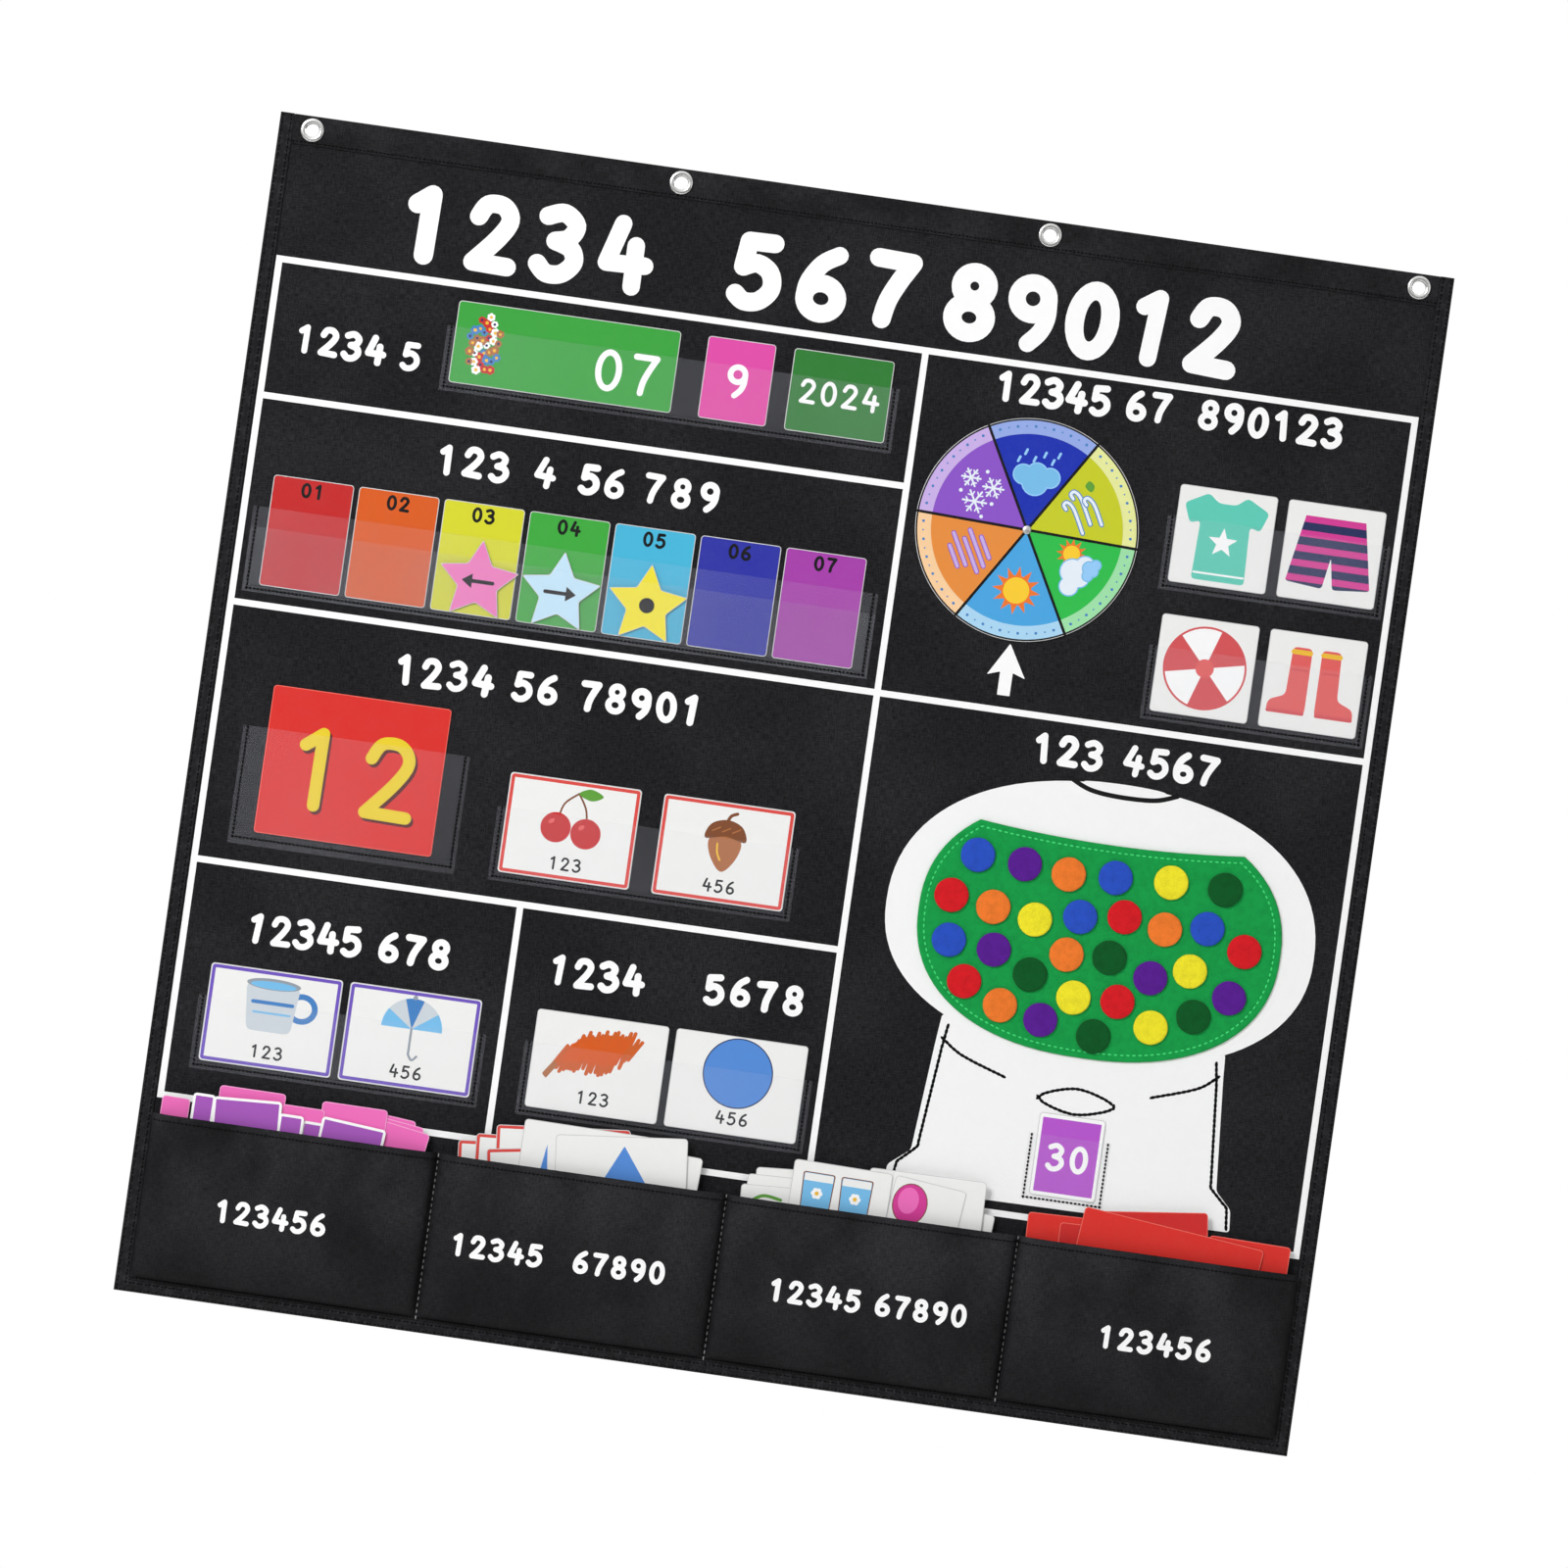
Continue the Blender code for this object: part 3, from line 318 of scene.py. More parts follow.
def makePrintFinish(name, roughness, coat, grainSize, relief, worn):
    # ink from the mesh's own colour attribute, on paper under a clear laminate
    made, tree = newFinish(name)
    grain = useGroup(tree, "fibres", Fibre_Size=grainSize, Matting=0.5)
    fade = mapRange(tree, grain["Tone"], (0.0, worn), (0.3, 0.7))
    shade = mixInks(tree, fade, attribute(tree, "ink")["Color"], (0.30, 0.30, 0.31, 1.0))
    rough = mapRange(tree, grain["Tone"], (roughness - 0.06, roughness + 0.06))
    setSurface(tree, Base_Color=shade, Roughness=rough, Specular_IOR_Level=0.12, Coat_Weight=coat,
               Coat_Roughness=0.12, Normal=bump(tree, grain["Height"], relief))
    return made


def makeFeltFinish():
    made, tree = newFinish("pressedFelt")
    ink = attribute(tree, "ink")["Color"]
    fibres = useGroup(tree, "fibres", Fibre_Size=0.0011, Matting=1.6)
    # painted shade: the ink is darker in the gaps of the fibres, mixed with the felt's own mottled tone
    between = mixInks(tree, 1.0, ink, (0.82, 0.82, 0.82, 1.0), blend_type="MULTIPLY")
    tone = mapRange(tree, fibres["Tone"], (0.0, 1.0), (0.36, 0.56))
    setSurface(tree, Base_Color=mixInks(tree, tone, between, ink), Roughness=0.95, Specular_IOR_Level=0.03,
               Sheen_Weight=0.05, Sheen_Roughness=0.6, Normal=bump(tree, fibres["Height"], 0.0006))
    return made


def makeThreadFinish(name, colour):
    made, tree = newFinish(name)
    twist = useGroup(tree, "fibres", Fibre_Size=0.0004, Matting=0.2)
    setSurface(tree, Base_Color=colour, Roughness=mapRange(tree, twist["Tone"], (0.45, 0.75)),
               Specular_IOR_Level=0.08, Normal=bump(tree, twist["Height"], 0.0002))
    return made


def makeMetalFinish(name, colour, roughness):
    # plated steel, a little brighter where handling has rubbed it
    made, tree = newFinish(name)
    wearAndPaintedSheen = useGroup(tree, "patches", Patch_Size=0.004, Low=0.3, High=0.7)["Mask"]
    scratches = useGroup(tree, "fibres", Fibre_Size=0.0006, Matting=3.0)
    bright = (*(1.12 * channel for channel in colour[:3]), 1.0)
    rough = mapRange(tree, scratches["Tone"], (roughness, roughness + 0.12))
    setSurface(tree, Base_Color=mixInks(tree, wearAndPaintedSheen, colour, bright), Metallic=1.0, Roughness=rough,
               Normal=bump(tree, scratches["Height"], 0.000015))
    return made


finishes = {key: makeClothFinish(look) for key, look in clothFinishes.items()}
finishes |= {
    "film": makeFilmFinish(),
    "card": makePrintFinish("laminatedPrint", 0.38, 0.14, 0.0016, 0.00003, 0.04),
    "clothPrint": makePrintFinish("printOnCloth", 0.72, 0.0, 0.0011, 0.00012, 0.03),
    "felt": makeFeltFinish(),
    "blackThread": makeThreadFinish("blackThreadTwist", (0.0024, 0.0024, 0.0030, 1)),
    "greyThread": makeThreadFinish("greyThreadTwist", (0.42, 0.42, 0.43, 1)),
    "greenThread": makeThreadFinish("greenThreadTwist", (0.07, 0.78, 0.22, 1)),
    "nickel": makeMetalFinish("nickelPlate", (0.72, 0.72, 0.71, 1), 0.16),
    "satin": makeMetalFinish("satinSteel", (0.60, 0.60, 0.60, 1), 0.3),
}
print("finishes are ready")


# Meshes and pieces
def addObject(name, data, slotName=None, body="root"):
    made = bpy.data.objects.new(name, data)
    bpy.context.scene.collection.objects.link(made)
    if slotName:
        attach(made, body)
    return made


def newMesh(name, points, edges, faces):
    mesh = bpy.data.meshes.new(name)
    mesh.from_pydata([tuple(p) for p in points], edges, faces)
    return mesh


def weld(mesh, distance):
    # merges doubled points and turns the faces outwards
    shell = bmesh.new()
    shell.from_mesh(mesh)
    bmesh.ops.remove_doubles(shell, verts=shell.verts, dist=distance)
    bmesh.ops.recalc_face_normals(shell, faces=shell.faces)
    shell.to_mesh(mesh)
    shell.free()


def soften(mesh, degrees):
    # smooth but for edges sharper than the angle
    mesh.shade_smooth()
    mesh.set_sharp_from_angle(angle=math.radians(degrees))


def newPiece(name, shape, finish, slotName, body="root", smoothAngle=None):
    # shape is (points, faces), or (points, faces, an ink for each face)
    points, faces, *tints = shape
    mesh = newMesh(name, points, [], faces)
    mesh.materials.append(finish)
    if tints:
        counts = np.array([len(face) for face in faces])
        colours = np.repeat(np.array(tints[0], np.float32), counts, axis=0)
        mesh.attributes.new("ink", "FLOAT_COLOR", "CORNER").data.foreach_set("color", colours.ravel())
    mesh.validate()
    if smoothAngle is not None:
        soften(mesh, smoothAngle)
    return addObject(name, mesh, slotName, body)


def freeze(source, name, slotName, body="root"):
    # the evaluated shape as a plain mesh on a new object
    evaluated = source.evaluated_get(bpy.context.evaluated_depsgraph_get())
    mesh = bpy.data.meshes.new_from_object(evaluated)
    mesh.name = name
    bpy.data.objects.remove(source)
    return addObject(name, mesh, slotName, body)


def joinShapes(shapes):
    # several (points, faces, inks) as one
    points, faces, tints = [], [], []
    for somePoints, someFaces, someTints in shapes:
        start = len(points)
        points += somePoints
        faces += [tuple(index + start for index in face) for face in someFaces]
        tints += someTints
    return points, faces, tints


def gridPlate(name, xs, zs, frontAt, thickness, finish, slotName, smoothAngle):
    # a sheet with walls; frontAt gives the y of its front at every crossing of xs and zs
    front = [(x, frontAt(x, z), z) for z in zs for x in xs]
    points = front + [(x, y + thickness, z) for x, y, z in front]
    wide, layer = len(xs), len(front)
    faces = []
    for row in range(len(zs) - 1):
        for column in range(wide - 1):
            a = row * wide + column
            quad = (a, a + 1, a + wide + 1, a + wide)
            faces += [quad, tuple(index + layer for index in reversed(quad))]
    rim = [*range(wide - 1), *range(wide - 1, layer - 1, wide), *range(layer - 1, layer - wide, -1),
           *range(layer - wide, 0, -wide)]
    faces += [(b, a, a + layer, b + layer) for a, b in zip(rim, rim[1:] + rim[:1])]
    return newPiece(name, (points, faces), finish, slotName, smoothAngle=smoothAngle)


def signedArea(loop):
    return sum(a[0] * b[1] - b[0] * a[1] for a, b in zip(loop, loop[1:] + loop[:1])) / 2


def paintSheet(shapes, spots=(), base=False):
    # shapes is a list of (ink, loops), the last on top; gives points, triangles and their inks
    # spots are extra points inside; with base, nothing is left outside the first shape
    points, faces, owners = [], [], []
    for number, (_, loops) in enumerate(shapes):
        for loop in loops:
            loop = [tuple(p) for p in loop]
            ordered = loop if signedArea(loop) > 0 else loop[::-1]
            faces.append(list(range(len(points), len(points) + len(ordered))))
            owners.append(number)
            points += [Vector(p) for p in ordered]
    points += [Vector(p) for p in spots]
    made = delaunay_2d_cdt(points, [], faces, 0, 1e-4)
    triangles, names = [], []
    for triangle, inside in zip(made[2], made[5]):
        counts = Counter(owners[face] for face in inside)
        covers = [number for number, count in counts.items() if count % 2]
        if not covers or (base and 0 not in covers):
            continue
        triangles.append(tuple(triangle))
        names.append(shapes[max(covers)][0])
    used = sorted({index for triangle in triangles for index in triangle})
    renumbered = {old: new for new, old in enumerate(used)}
    triangles = [tuple(renumbered[index] for index in triangle) for triangle in triangles]
    return [made[0][index] for index in used], triangles, names


def plateFaces(painted, frontAt, backAt, backInk=None, edgeInk=None, edgeDrop=0.0):
    # closes a painted sheet into a plate with walls round its outline
    points, triangles, names = painted
    count = len(points)
    edges = {}
    for triangle, name in zip(triangles, names):
        for a, b in zip(triangle, triangle[1:] + triangle[:1]):
            edges[(a, b)] = name
    rim = [(a, b, name) for (a, b), name in edges.items() if (b, a) not in edges]
    rimPoints = {index for a, b, _ in rim for index in (a, b)}
    corners = []
    for index, point in enumerate(points):
        place = Vector(frontAt(point))
        if index in rimPoints:
            place.y += edgeDrop
        corners.append(place)
    corners += [Vector(backAt(point)) for point in points]
    faces, tints = [], []
    for triangle, name in zip(triangles, names):
        faces.append(triangle)
        tints.append(linearInk(name))
        faces.append(tuple(index + count for index in reversed(triangle)))
        tints.append(linearInk(backInk or name))
    for a, b, name in rim:
        faces.append((b, a, a + count, b + count))
        tints.append(linearInk(edgeInk or name))
    return corners, faces, tints


# Outlines, in millimetres about a card's middle, with up as +
def turns(steps):
    return [math.tau * step / steps for step in range(steps)]


def polar(x, y, radius, angle):
    return x + radius * math.cos(angle), y + radius * math.sin(angle)


def swung(x, y, a, b, turn):
    # the point (a, b) turned about the origin, then moved by (x, y)
    return x + a * math.cos(turn) - b * math.sin(turn), y + a * math.sin(turn) + b * math.cos(turn)


def oval(x, y, wide, tall=None, steps=28, turn=0.0):
    tall = wide if tall is None else tall
    return [swung(x, y, wide * math.cos(angle), tall * math.sin(angle), turn) for angle in turns(steps)]


def roundedBox(left, low, right, high, corner, steps=5):
    loop = []
    for x, y, start in ((right - corner, high - corner, 0), (left + corner, high - corner, 90),
                        (left + corner, low + corner, 180), (right - corner, low + corner, 270)):
        loop += [polar(x, y, corner, math.radians(start + 90 * step / steps)) for step in range(steps + 1)]
    return loop


def insetBox(wide, tall, inset, corner):
    return roundedBox(inset - wide / 2, inset - tall / 2, wide / 2 - inset, tall / 2 - inset, corner)


def boxOf(left, low, right, high):
    return [(left, low), (right, low), (right, high), (left, high)]


def wedge(x, y, inner, outer, start, end, steps=12):
    arc = [math.radians(start + (end - start) * step / steps) for step in range(steps + 1)]
    loop = [polar(x, y, outer, angle) for angle in arc]
    return loop + ([polar(x, y, inner, angle) for angle in reversed(arc)] if inner > 0 else [(x, y)])


def curved(points, closed=False, steps=6):
    # a smooth line through a few points
    count = len(points)
    line = []
    for index in range(count if closed else count - 1):
        around = [(index + k) % count if closed else min(max(index + k, 0), count - 1) for k in (-1, 0, 1, 2)]
        p = [Vector(points[corner]) for corner in around]
        for step in range(steps):
            t = step / steps
            place = 0.5 * (2 * p[1] + (p[2] - p[0]) * t + (2 * p[0] - 5 * p[1] + 4 * p[2] - p[3]) * t * t
                           + (3 * p[1] - p[0] - 3 * p[2] + p[3]) * t * t * t)
            line.append(tuple(place))
    return line if closed else line + [tuple(points[-1])]


def ribbon(line, width, capSteps=8):
    # one outline round an open line, with round ends
    line = [Vector(p) for p in line]
    half = width / 2
    normals = []
    for index in range(len(line)):
        along = line[min(index + 1, len(line) - 1)] - line[max(index - 1, 0)]
        along.normalize()
        normals.append(Vector((-along.y, along.x)))
    left = [p + n * half for p, n in zip(line, normals)]
    right = [p - n * half for p, n in zip(line, normals)]
    loop = list(right)
    for end, normal, side in ((line[-1], normals[-1], -1), (line[0], normals[0], 1)):
        start = math.atan2(normal.y * side, normal.x * side)
        for step in range(1, capSteps):
            angle = start + math.pi * step / capSteps
            loop.append(end + half * Vector((math.cos(angle), math.sin(angle))))
        if side == -1:
            loop += reversed(left)
    return [tuple(p) for p in loop]


def starLoop(x, y, outer, inner):
    return [polar(x, y, inner if step % 2 else outer, math.radians(90 + 36 * step)) for step in range(10)]


def blunted(loop, radius, steps=4):
    # rounds the corners of an outline
    result = []
    count = len(loop)
    for index in range(count):
        corner = Vector(loop[index])
        before, after = Vector(loop[index - 1]) - corner, Vector(loop[(index + 1) % count]) - corner
        reach = min(radius, before.length / 2.2, after.length / 2.2)
        start, end = corner + before.normalized() * reach, corner + after.normalized() * reach
        for step in range(steps + 1):
            t = step / steps
            result.append(tuple((1 - t) ** 2 * start + 2 * t * (1 - t) * corner + t * t * end))
    return result


# Figures drawn with a round-ended pen in a box one high; a stroke is the points of a line, or the middle and
# the half sizes of a ring
penStrokes = {
    "0": [(0.32, 0.50, 0.24, 0.42)],
    "1": [((0.15, 0.77), (0.34, 0.92)), ((0.34, 0.92), (0.33, 0.08))],
    "2": [((0.09, 0.72), (0.20, 0.90), (0.42, 0.90), (0.53, 0.72), (0.40, 0.46), (0.09, 0.09)),
          ((0.09, 0.09), (0.57, 0.08))],
    "3": [((0.10, 0.85), (0.32, 0.93), (0.51, 0.79), (0.44, 0.60), (0.26, 0.53)),
          ((0.26, 0.53), (0.49, 0.46), (0.56, 0.28), (0.42, 0.10), (0.21, 0.07), (0.07, 0.18))],
    "4": [((0.26, 0.93), (0.07, 0.38)), ((0.07, 0.38), (0.60, 0.37)), ((0.46, 0.64), (0.44, 0.07))],
    "5": [((0.52, 0.91), (0.17, 0.90)), ((0.17, 0.90), (0.13, 0.54)),
          ((0.13, 0.54), (0.32, 0.61), (0.51, 0.50), (0.55, 0.28), (0.40, 0.10), (0.20, 0.07), (0.07, 0.16))],
    "6": [((0.46, 0.92), (0.25, 0.76), (0.11, 0.50), (0.09, 0.30)), (0.32, 0.29, 0.23, 0.21)],
    "7": [((0.07, 0.91), (0.55, 0.91)), ((0.55, 0.91), (0.40, 0.62), (0.29, 0.34), (0.25, 0.08))],
    "8": [(0.32, 0.72, 0.19, 0.19), (0.32, 0.28, 0.23, 0.21)],
    "9": [(0.32, 0.69, 0.22, 0.22), ((0.54, 0.68), (0.53, 0.44), (0.45, 0.24), (0.29, 0.07))],
}
unsteady = {"turn": 5, "lift": 0.03, "pen": 0.08}  # degrees, share of the height and share of the pen's width


def figures(text, x, y, height, ink, weight=0.17, pitch=0.78, wobble=0.0, seed=1):
    # a row of figures about the middle (x, y)
    dice = random.Random(seed)
    left = x - len(text) * pitch * height / 2
    shapes = []
    for letter in text:
        turn = math.radians(dice.uniform(-1, 1) * unsteady["turn"] * wobble)
        lift = dice.uniform(-1, 1) * unsteady["lift"] * wobble
        pen = weight * (1 + unsteady["pen"] * wobble * dice.uniform(-1, 1))
        middle = Vector((left + pitch * height / 2, y + lift * height))
        for stroke in penStrokes[letter]:
            if isinstance(stroke[0], float):
                ringX, ringY, wide, tall = stroke
                loops = [oval(ringX, ringY, wide + side * pen / 2, tall + side * pen / 2, 30)
                         for side in (1, -1)]
            else:
                loops = [ribbon(curved(stroke) if len(stroke) > 2 else stroke, pen)]
            shapes.append((ink, [[swung(*middle, (a - 0.32) * height, (b - 0.5) * height, turn)
                                  for a, b in loop] for loop in loops]))
        left += pitch * height
    return shapes


def figureRows(look):
    # rows are (figures, middle x, middle y, height, pitch) in chart millimetres
    shapes = []
    for number, (text, x, y, height, pitch) in enumerate(look["rows"]):
        shapes += figures(text, x, -y, height, "white", look["weight"], pitch, look["wobble"],
                          look["seed"] + number)
    return shapes


def fill(ink, *loops):
    return [(ink, list(loops))]


def penLine(points, width, ink):
    return fill(ink, ribbon(curved(points), width))


def cornered(points, width, ink):
    # straight runs with round joins
    return [(ink, [ribbon(ends, width)]) for ends in zip(points, points[1:])]


def spot(x, y, radius, ink, tall=None, turn=0.0, steps=28):
    return fill(ink, oval(x, y, radius, tall, steps, turn))


# Cloth: the panel and what is printed on it
clothLook = {"cells": 150, "thickness": 0.0008, "undulation": 0.00032, "wave": 0.16, "fineWave": 0.05}
punched = {"eyelet": 0.00552, "rivet": 0.0019, "depth": 0.02}  # radii of the holes, length of the punch


def panelAt(x, z):
    # y of the hanging panel's front, which lies back from flat in soft waves
    wave = noise.noise(Vector((x / clothLook["wave"], 3.1, z / clothLook["wave"])))
    fine = noise.noise(Vector((x / clothLook["fineWave"], 8.7, z / clothLook["fineWave"])))
    return panelFront + clothLook["undulation"] * (0.5 + 0.42 * wave + 0.12 * fine)


def cutHoles(source, places, radius, name, slotName):
    cutter = bmesh.new()
    for x, z in places:
        turned = Matrix.Translation((x, panelFront, z)) @ Matrix.Rotation(math.pi / 2, 4, "X")
        bmesh.ops.create_cone(cutter, cap_ends=True, segments=48, radius1=radius, radius2=radius,
                              depth=punched["depth"], matrix=turned)
    data = bpy.data.meshes.new("punch")
    cutter.to_mesh(data)
    cutter.free()
    punch = addObject("punch", data)
    modifier = source.modifiers.new("holes", "BOOLEAN")
    modifier.object = punch
    modifier.operation = "DIFFERENCE"
    made = freeze(source, name, slotName)
    bpy.data.objects.remove(punch)
    return made


grommetNames = [f"grommet_{number}" for number in (1, 2, 3, 4)]
grommetPlaces = [(middleOf(node).x, middleOf(node).z) for node in grommetNames]
wheelPlace = (middleOf("weather_wheel").x, middleOf("weather_wheel").z)

panel = gridPlate("clothPanel", np.linspace(panelLow.x, panelHigh.x, clothLook["cells"] + 1),
                  np.linspace(panelLow.z, panelHigh.z, clothLook["cells"] + 1), panelAt,
                  clothLook["thickness"], finishes["panel"], None, 50)
for places, radius in ((grommetPlaces, punched["eyelet"]), ([wheelPlace], punched["rivet"])):
    panel = cutHoles(panel, places, radius, "clothPanel", "black_fabric")
panel.name = "chartPanel"
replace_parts(panel, "backing_panel")
print("the panel is woven and punched")


# Folded tape: the binding round the sides and foot, and the header band
tape = {"thickness": 0.0008, "step": 1.4 * mm, "pucker": 0.00022, "puckerPitch": 5.6 * mm,
        "puckerReach": 0.11, "legs": (0.16, 0.3, 0.45, 0.6, 0.75, 0.9, 0.96, 1.0), "foldSteps": 8,
        "side": 9.5 * mm, "foot": 8.0 * mm, "backShare": 0.4}
stitchLines = {"tape": (0.2, 0.8), "header": (0.92,)}  # from the fold to the hem


def foldedSection(width, front, back, stitchShares):
    # (offset from the fold, depth, share of the width) round the folded tape, outside then inside
    radius, middle = (back - front) / 2, (front + back) / 2
    legs = sorted({*tape["legs"], *stitchShares})
    section = []
    for surface in (0, 1):
        bend = radius - surface * tape["thickness"]
        ring = [(share * width, middle - bend, share) for share in reversed(legs)]
        for step in range(tape["foldSteps"] + 1):
            angle = math.pi * step / tape["foldSteps"]
            ring.append((radius - bend * math.sin(angle), middle - bend * math.cos(angle), 0.0))
        ring += [(share * width, middle + bend, share) for share in legs]
        section += ring if surface == 0 else ring[::-1]
    return section


def makeFoldedTape(name, rows, front, back, finish, slotName, stitchShares):
    # rows is a list of (fold point, hem point) along the tape, both as (x, z)
    middle = (front + back) / 2
    width = (Vector(rows[0][1]) - Vector(rows[0][0])).length
    section = foldedSection(width, front, back, stitchShares)
    points, faces, crestHighlights = [], [], []
    along = 0.0
    lastFold = Vector(rows[0][0])
    for fold, hem in rows:
        fold, hem = Vector(fold), Vector(hem)
        along += (fold - lastFold).length
        lastFold = fold
        ripple = math.sin(math.tau * along / tape["puckerPitch"])
        ripple += 0.6 * noise.noise(Vector((along * 90, 0, 0)))
        for offset, depth, share in section:
            near = max(math.exp(-((share - s) / tape["puckerReach"]) ** 2)
                       for s in stitchShares) if share else 0.0
            sway = tape["pucker"] * near * ripple * (1 if depth < middle else -1)
            place = fold + (hem - fold) * (offset / width)
            points.append((place.x, depth + sway, place.y))
            # painted highlight on the crests of the puckers near the seams, weaker on the back
            crestHighlights.append(near * max(0.0, -ripple) * (1.0 if depth < middle else tape["backShare"]))
    count = len(section)
    for row in range(len(rows) - 1):
        for index in range(count):
            a, b = row * count + index, row * count + (index + 1) % count
            faces.append((a, b, b + count, a + count))
    for end in (0, (len(rows) - 1) * count):
        for index in range(count // 2 - 1):
            a, b = end + index, end + index + 1
            c, d = end + count - 2 - index, end + count - 1 - index
            faces.append((a, d, c, b) if end == 0 else (a, b, c, d))
    made = newPiece(name, (points, faces), finish, slotName, smoothAngle=50)
    made.data.attributes.new("crest", "FLOAT", "POINT").data.foreach_set("value", crestHighlights)
    weld(made.data, 1e-6)
    return made


def spaced(first, last, step):
    first, last = Vector(first), Vector(last)
    count = max(2, round((last - first).length / step))
    return [first.lerp(last, index / count) for index in range(count + 1)]


def makeBindingRows():
    left, right, foot, top = chartLow.x, chartHigh.x, chartLow.z, chartHigh.z
    side, sill = tape["side"], foot + tape["foot"]
    outer = [(left, top), (left, foot), (right, foot), (right, top)]
    inner = [Vector(p)
             for p in ((left + side, top), (left + side, sill), (right - side, sill), (right - side, top))]
    rows = []
    for leg in range(3):
        folds = spaced(outer[leg], outer[leg + 1], tape["step"])
        for index, fold in enumerate(folds):
            if index or not leg:  # a corner belongs to the leg before it
                rows.append((fold, inner[leg].lerp(inner[leg + 1], index / (len(folds) - 1))))
    return rows


binding = makeFoldedTape("edgeTape", makeBindingRows(), chartLow.y, chartHigh.y, finishes["tape"],
                         "black_fabric", stitchLines["tape"])
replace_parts(binding, "edge_binding")
headerLow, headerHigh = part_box("header_band")
headerRows = [((x, headerHigh.z), (x, headerLow.z))
              for x in np.linspace(headerLow.x, headerHigh.x,
                                   round((headerHigh.x - headerLow.x) / tape["step"]))]
header = makeFoldedTape("headerFold", headerRows, headerLow.y, headerHigh.y, finishes["header"], None,
                        stitchLines["header"])
header = cutHoles(header, grommetPlaces, punched["eyelet"], "headerBand", "black_fabric")
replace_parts(header, "header_band")
print("the tape and the header are folded")

# Eyelets and the wheel's rivet
eyelet = {"hole": 0.00465, "barrel": 0.00525, "flange": 0.008, "bevel": 0.0002, "round": 0.0003,
          "washer": 0.0006, "seat": 0.0003, "lip": 0.00015}
rivet = {"head": 0.003, "post": 0.0016, "washer": 0.0045, "bevel": 0.0002, "round": 0.0003, "seat": 0.0003,
         "washerFront": -0.0017}


def turnedPiece(name, profile, place, steps, finish, slotName, closed):
    # profile is (radius, y) points; spun round the line through place that runs along Y
    count = len(profile)
    points, faces = [], []
    for angle in turns(steps):
        for radius, y in profile:
            x, z = polar(*place, radius, angle)
            points.append((x, y, z))
    for step in range(steps):
        for index in range(count if closed else count - 1):
            a, b = step * count + index, step * count + (index + 1) % count
            faces.append((a, b, (b + count) % len(points), (a + count) % len(points)))
    mesh = newMesh(name, points, [], faces)
    weld(mesh, 1e-7)
    mesh.materials.append(finish)
    soften(mesh, 50)
    return addObject(name, mesh, slotName)


def rolledSection(low, high):
    # the eyelet's section: flat back washer, barrel and rolled front flange
    hole, barrel, rim, bevel = [eyelet[key] for key in ("hole", "barrel", "flange", "bevel")]
    seat, front = headerLow.y - eyelet["seat"], high.y - eyelet["washer"]
    section = [(hole, high.y), (rim - bevel, high.y), (rim, high.y - eyelet["round"]), (rim - bevel, front),
               (barrel, front), (barrel, seat), (rim - eyelet["round"], seat)]
    lip = seat - eyelet["lip"]
    for step in range(9):
        angle = math.pi * step / 8
        share = (1 - math.cos(angle)) / 2
        section.append((rim - share * (rim - hole), lip + (low.y - lip) * math.sin(angle) ** 0.7))
    return section


for node, place in zip(grommetNames, grommetPlaces):
    ring = turnedPiece(node.replace("grommet_", "eyelet"), rolledSection(*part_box(node)), place, 64,
                       finishes["nickel"], "grommet_steel", True)
    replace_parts(ring, node)


def rivetSection(low, high):
    # from the middle of the back washer, by the post, to the top of the domed head
    head, post, washer, front = [rivet[key] for key in ("head", "post", "washer", "washerFront")]
    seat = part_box("weather_wheel")[0].y - rivet["seat"]
    section = [(0, high.y), (washer - rivet["bevel"], high.y), (washer, high.y - rivet["round"]),
               (washer, front), (post, front), (post, seat), (head, seat)]
    for step in range(1, 8):
        angle = math.pi / 2 * step / 7
        section.append((head * math.cos(angle), seat + (low.y - seat) * math.sin(angle)))
    return section


rivetPiece = turnedPiece("wheelRivet", rivetSection(*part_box("wheel_rivet")), wheelPlace, 48,
                         finishes["satin"], "rivet_steel", False)
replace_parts(rivetPiece, "wheel_rivet")
print("eyelets and rivet are turned")

# White print on the cloth: how far its front stands off, its thickness, the pitch of extra points that let a
# large print follow the cloth, and the longest edge
panelPrint = {"lift": 0.00012, "thickness": 0.00008, "net": 8.0, "edge": 6.0}
storagePrint = {"lift": 0.0002, "thickness": 0.0001, "net": 3.0}


def net(shapes, pitch):
    xs, ys = zip(*[p for _, loops in shapes for loop in loops for p in loop])
    rows = np.arange(min(ys) + pitch / 2, max(ys), pitch)
    return [(x, y) for x in np.arange(min(xs) + pitch / 2, max(xs), pitch) for y in rows]


def finer(loop):
    # the same outline with no long edge
    points = []
    for (x, y), (toX, toY) in zip(loop, [*loop[1:], loop[0]]):
        count = max(1, math.ceil(math.hypot(toX - x, toY - y) / panelPrint["edge"]))
        points += [(x + (toX - x) * part / count, y + (toY - y) * part / count) for part in range(count)]
    return points


def printOn(clothAt, layer, name, shapes, spots=()):
    # shapes are in chart millimetres with y upwards, so that places are (x, -down)
    def layerAt(point, behind):
        x, z = across(point[0]), down(-point[1])
        return x, clothAt(x, z) - layer["lift"] + behind, z

    plate = plateFaces(paintSheet(shapes, spots), lambda p: layerAt(p, 0.0),
                       lambda p: layerAt(p, layer["thickness"]))
    newPiece(name, plate, finishes["clothPrint"], "white_print")


def printOnPanel(name, shapes, spots=()):
    printOn(panelAt, panelPrint, name, [(ink, [finer(loop) for loop in loops]) for ink, loops in shapes],
            spots)


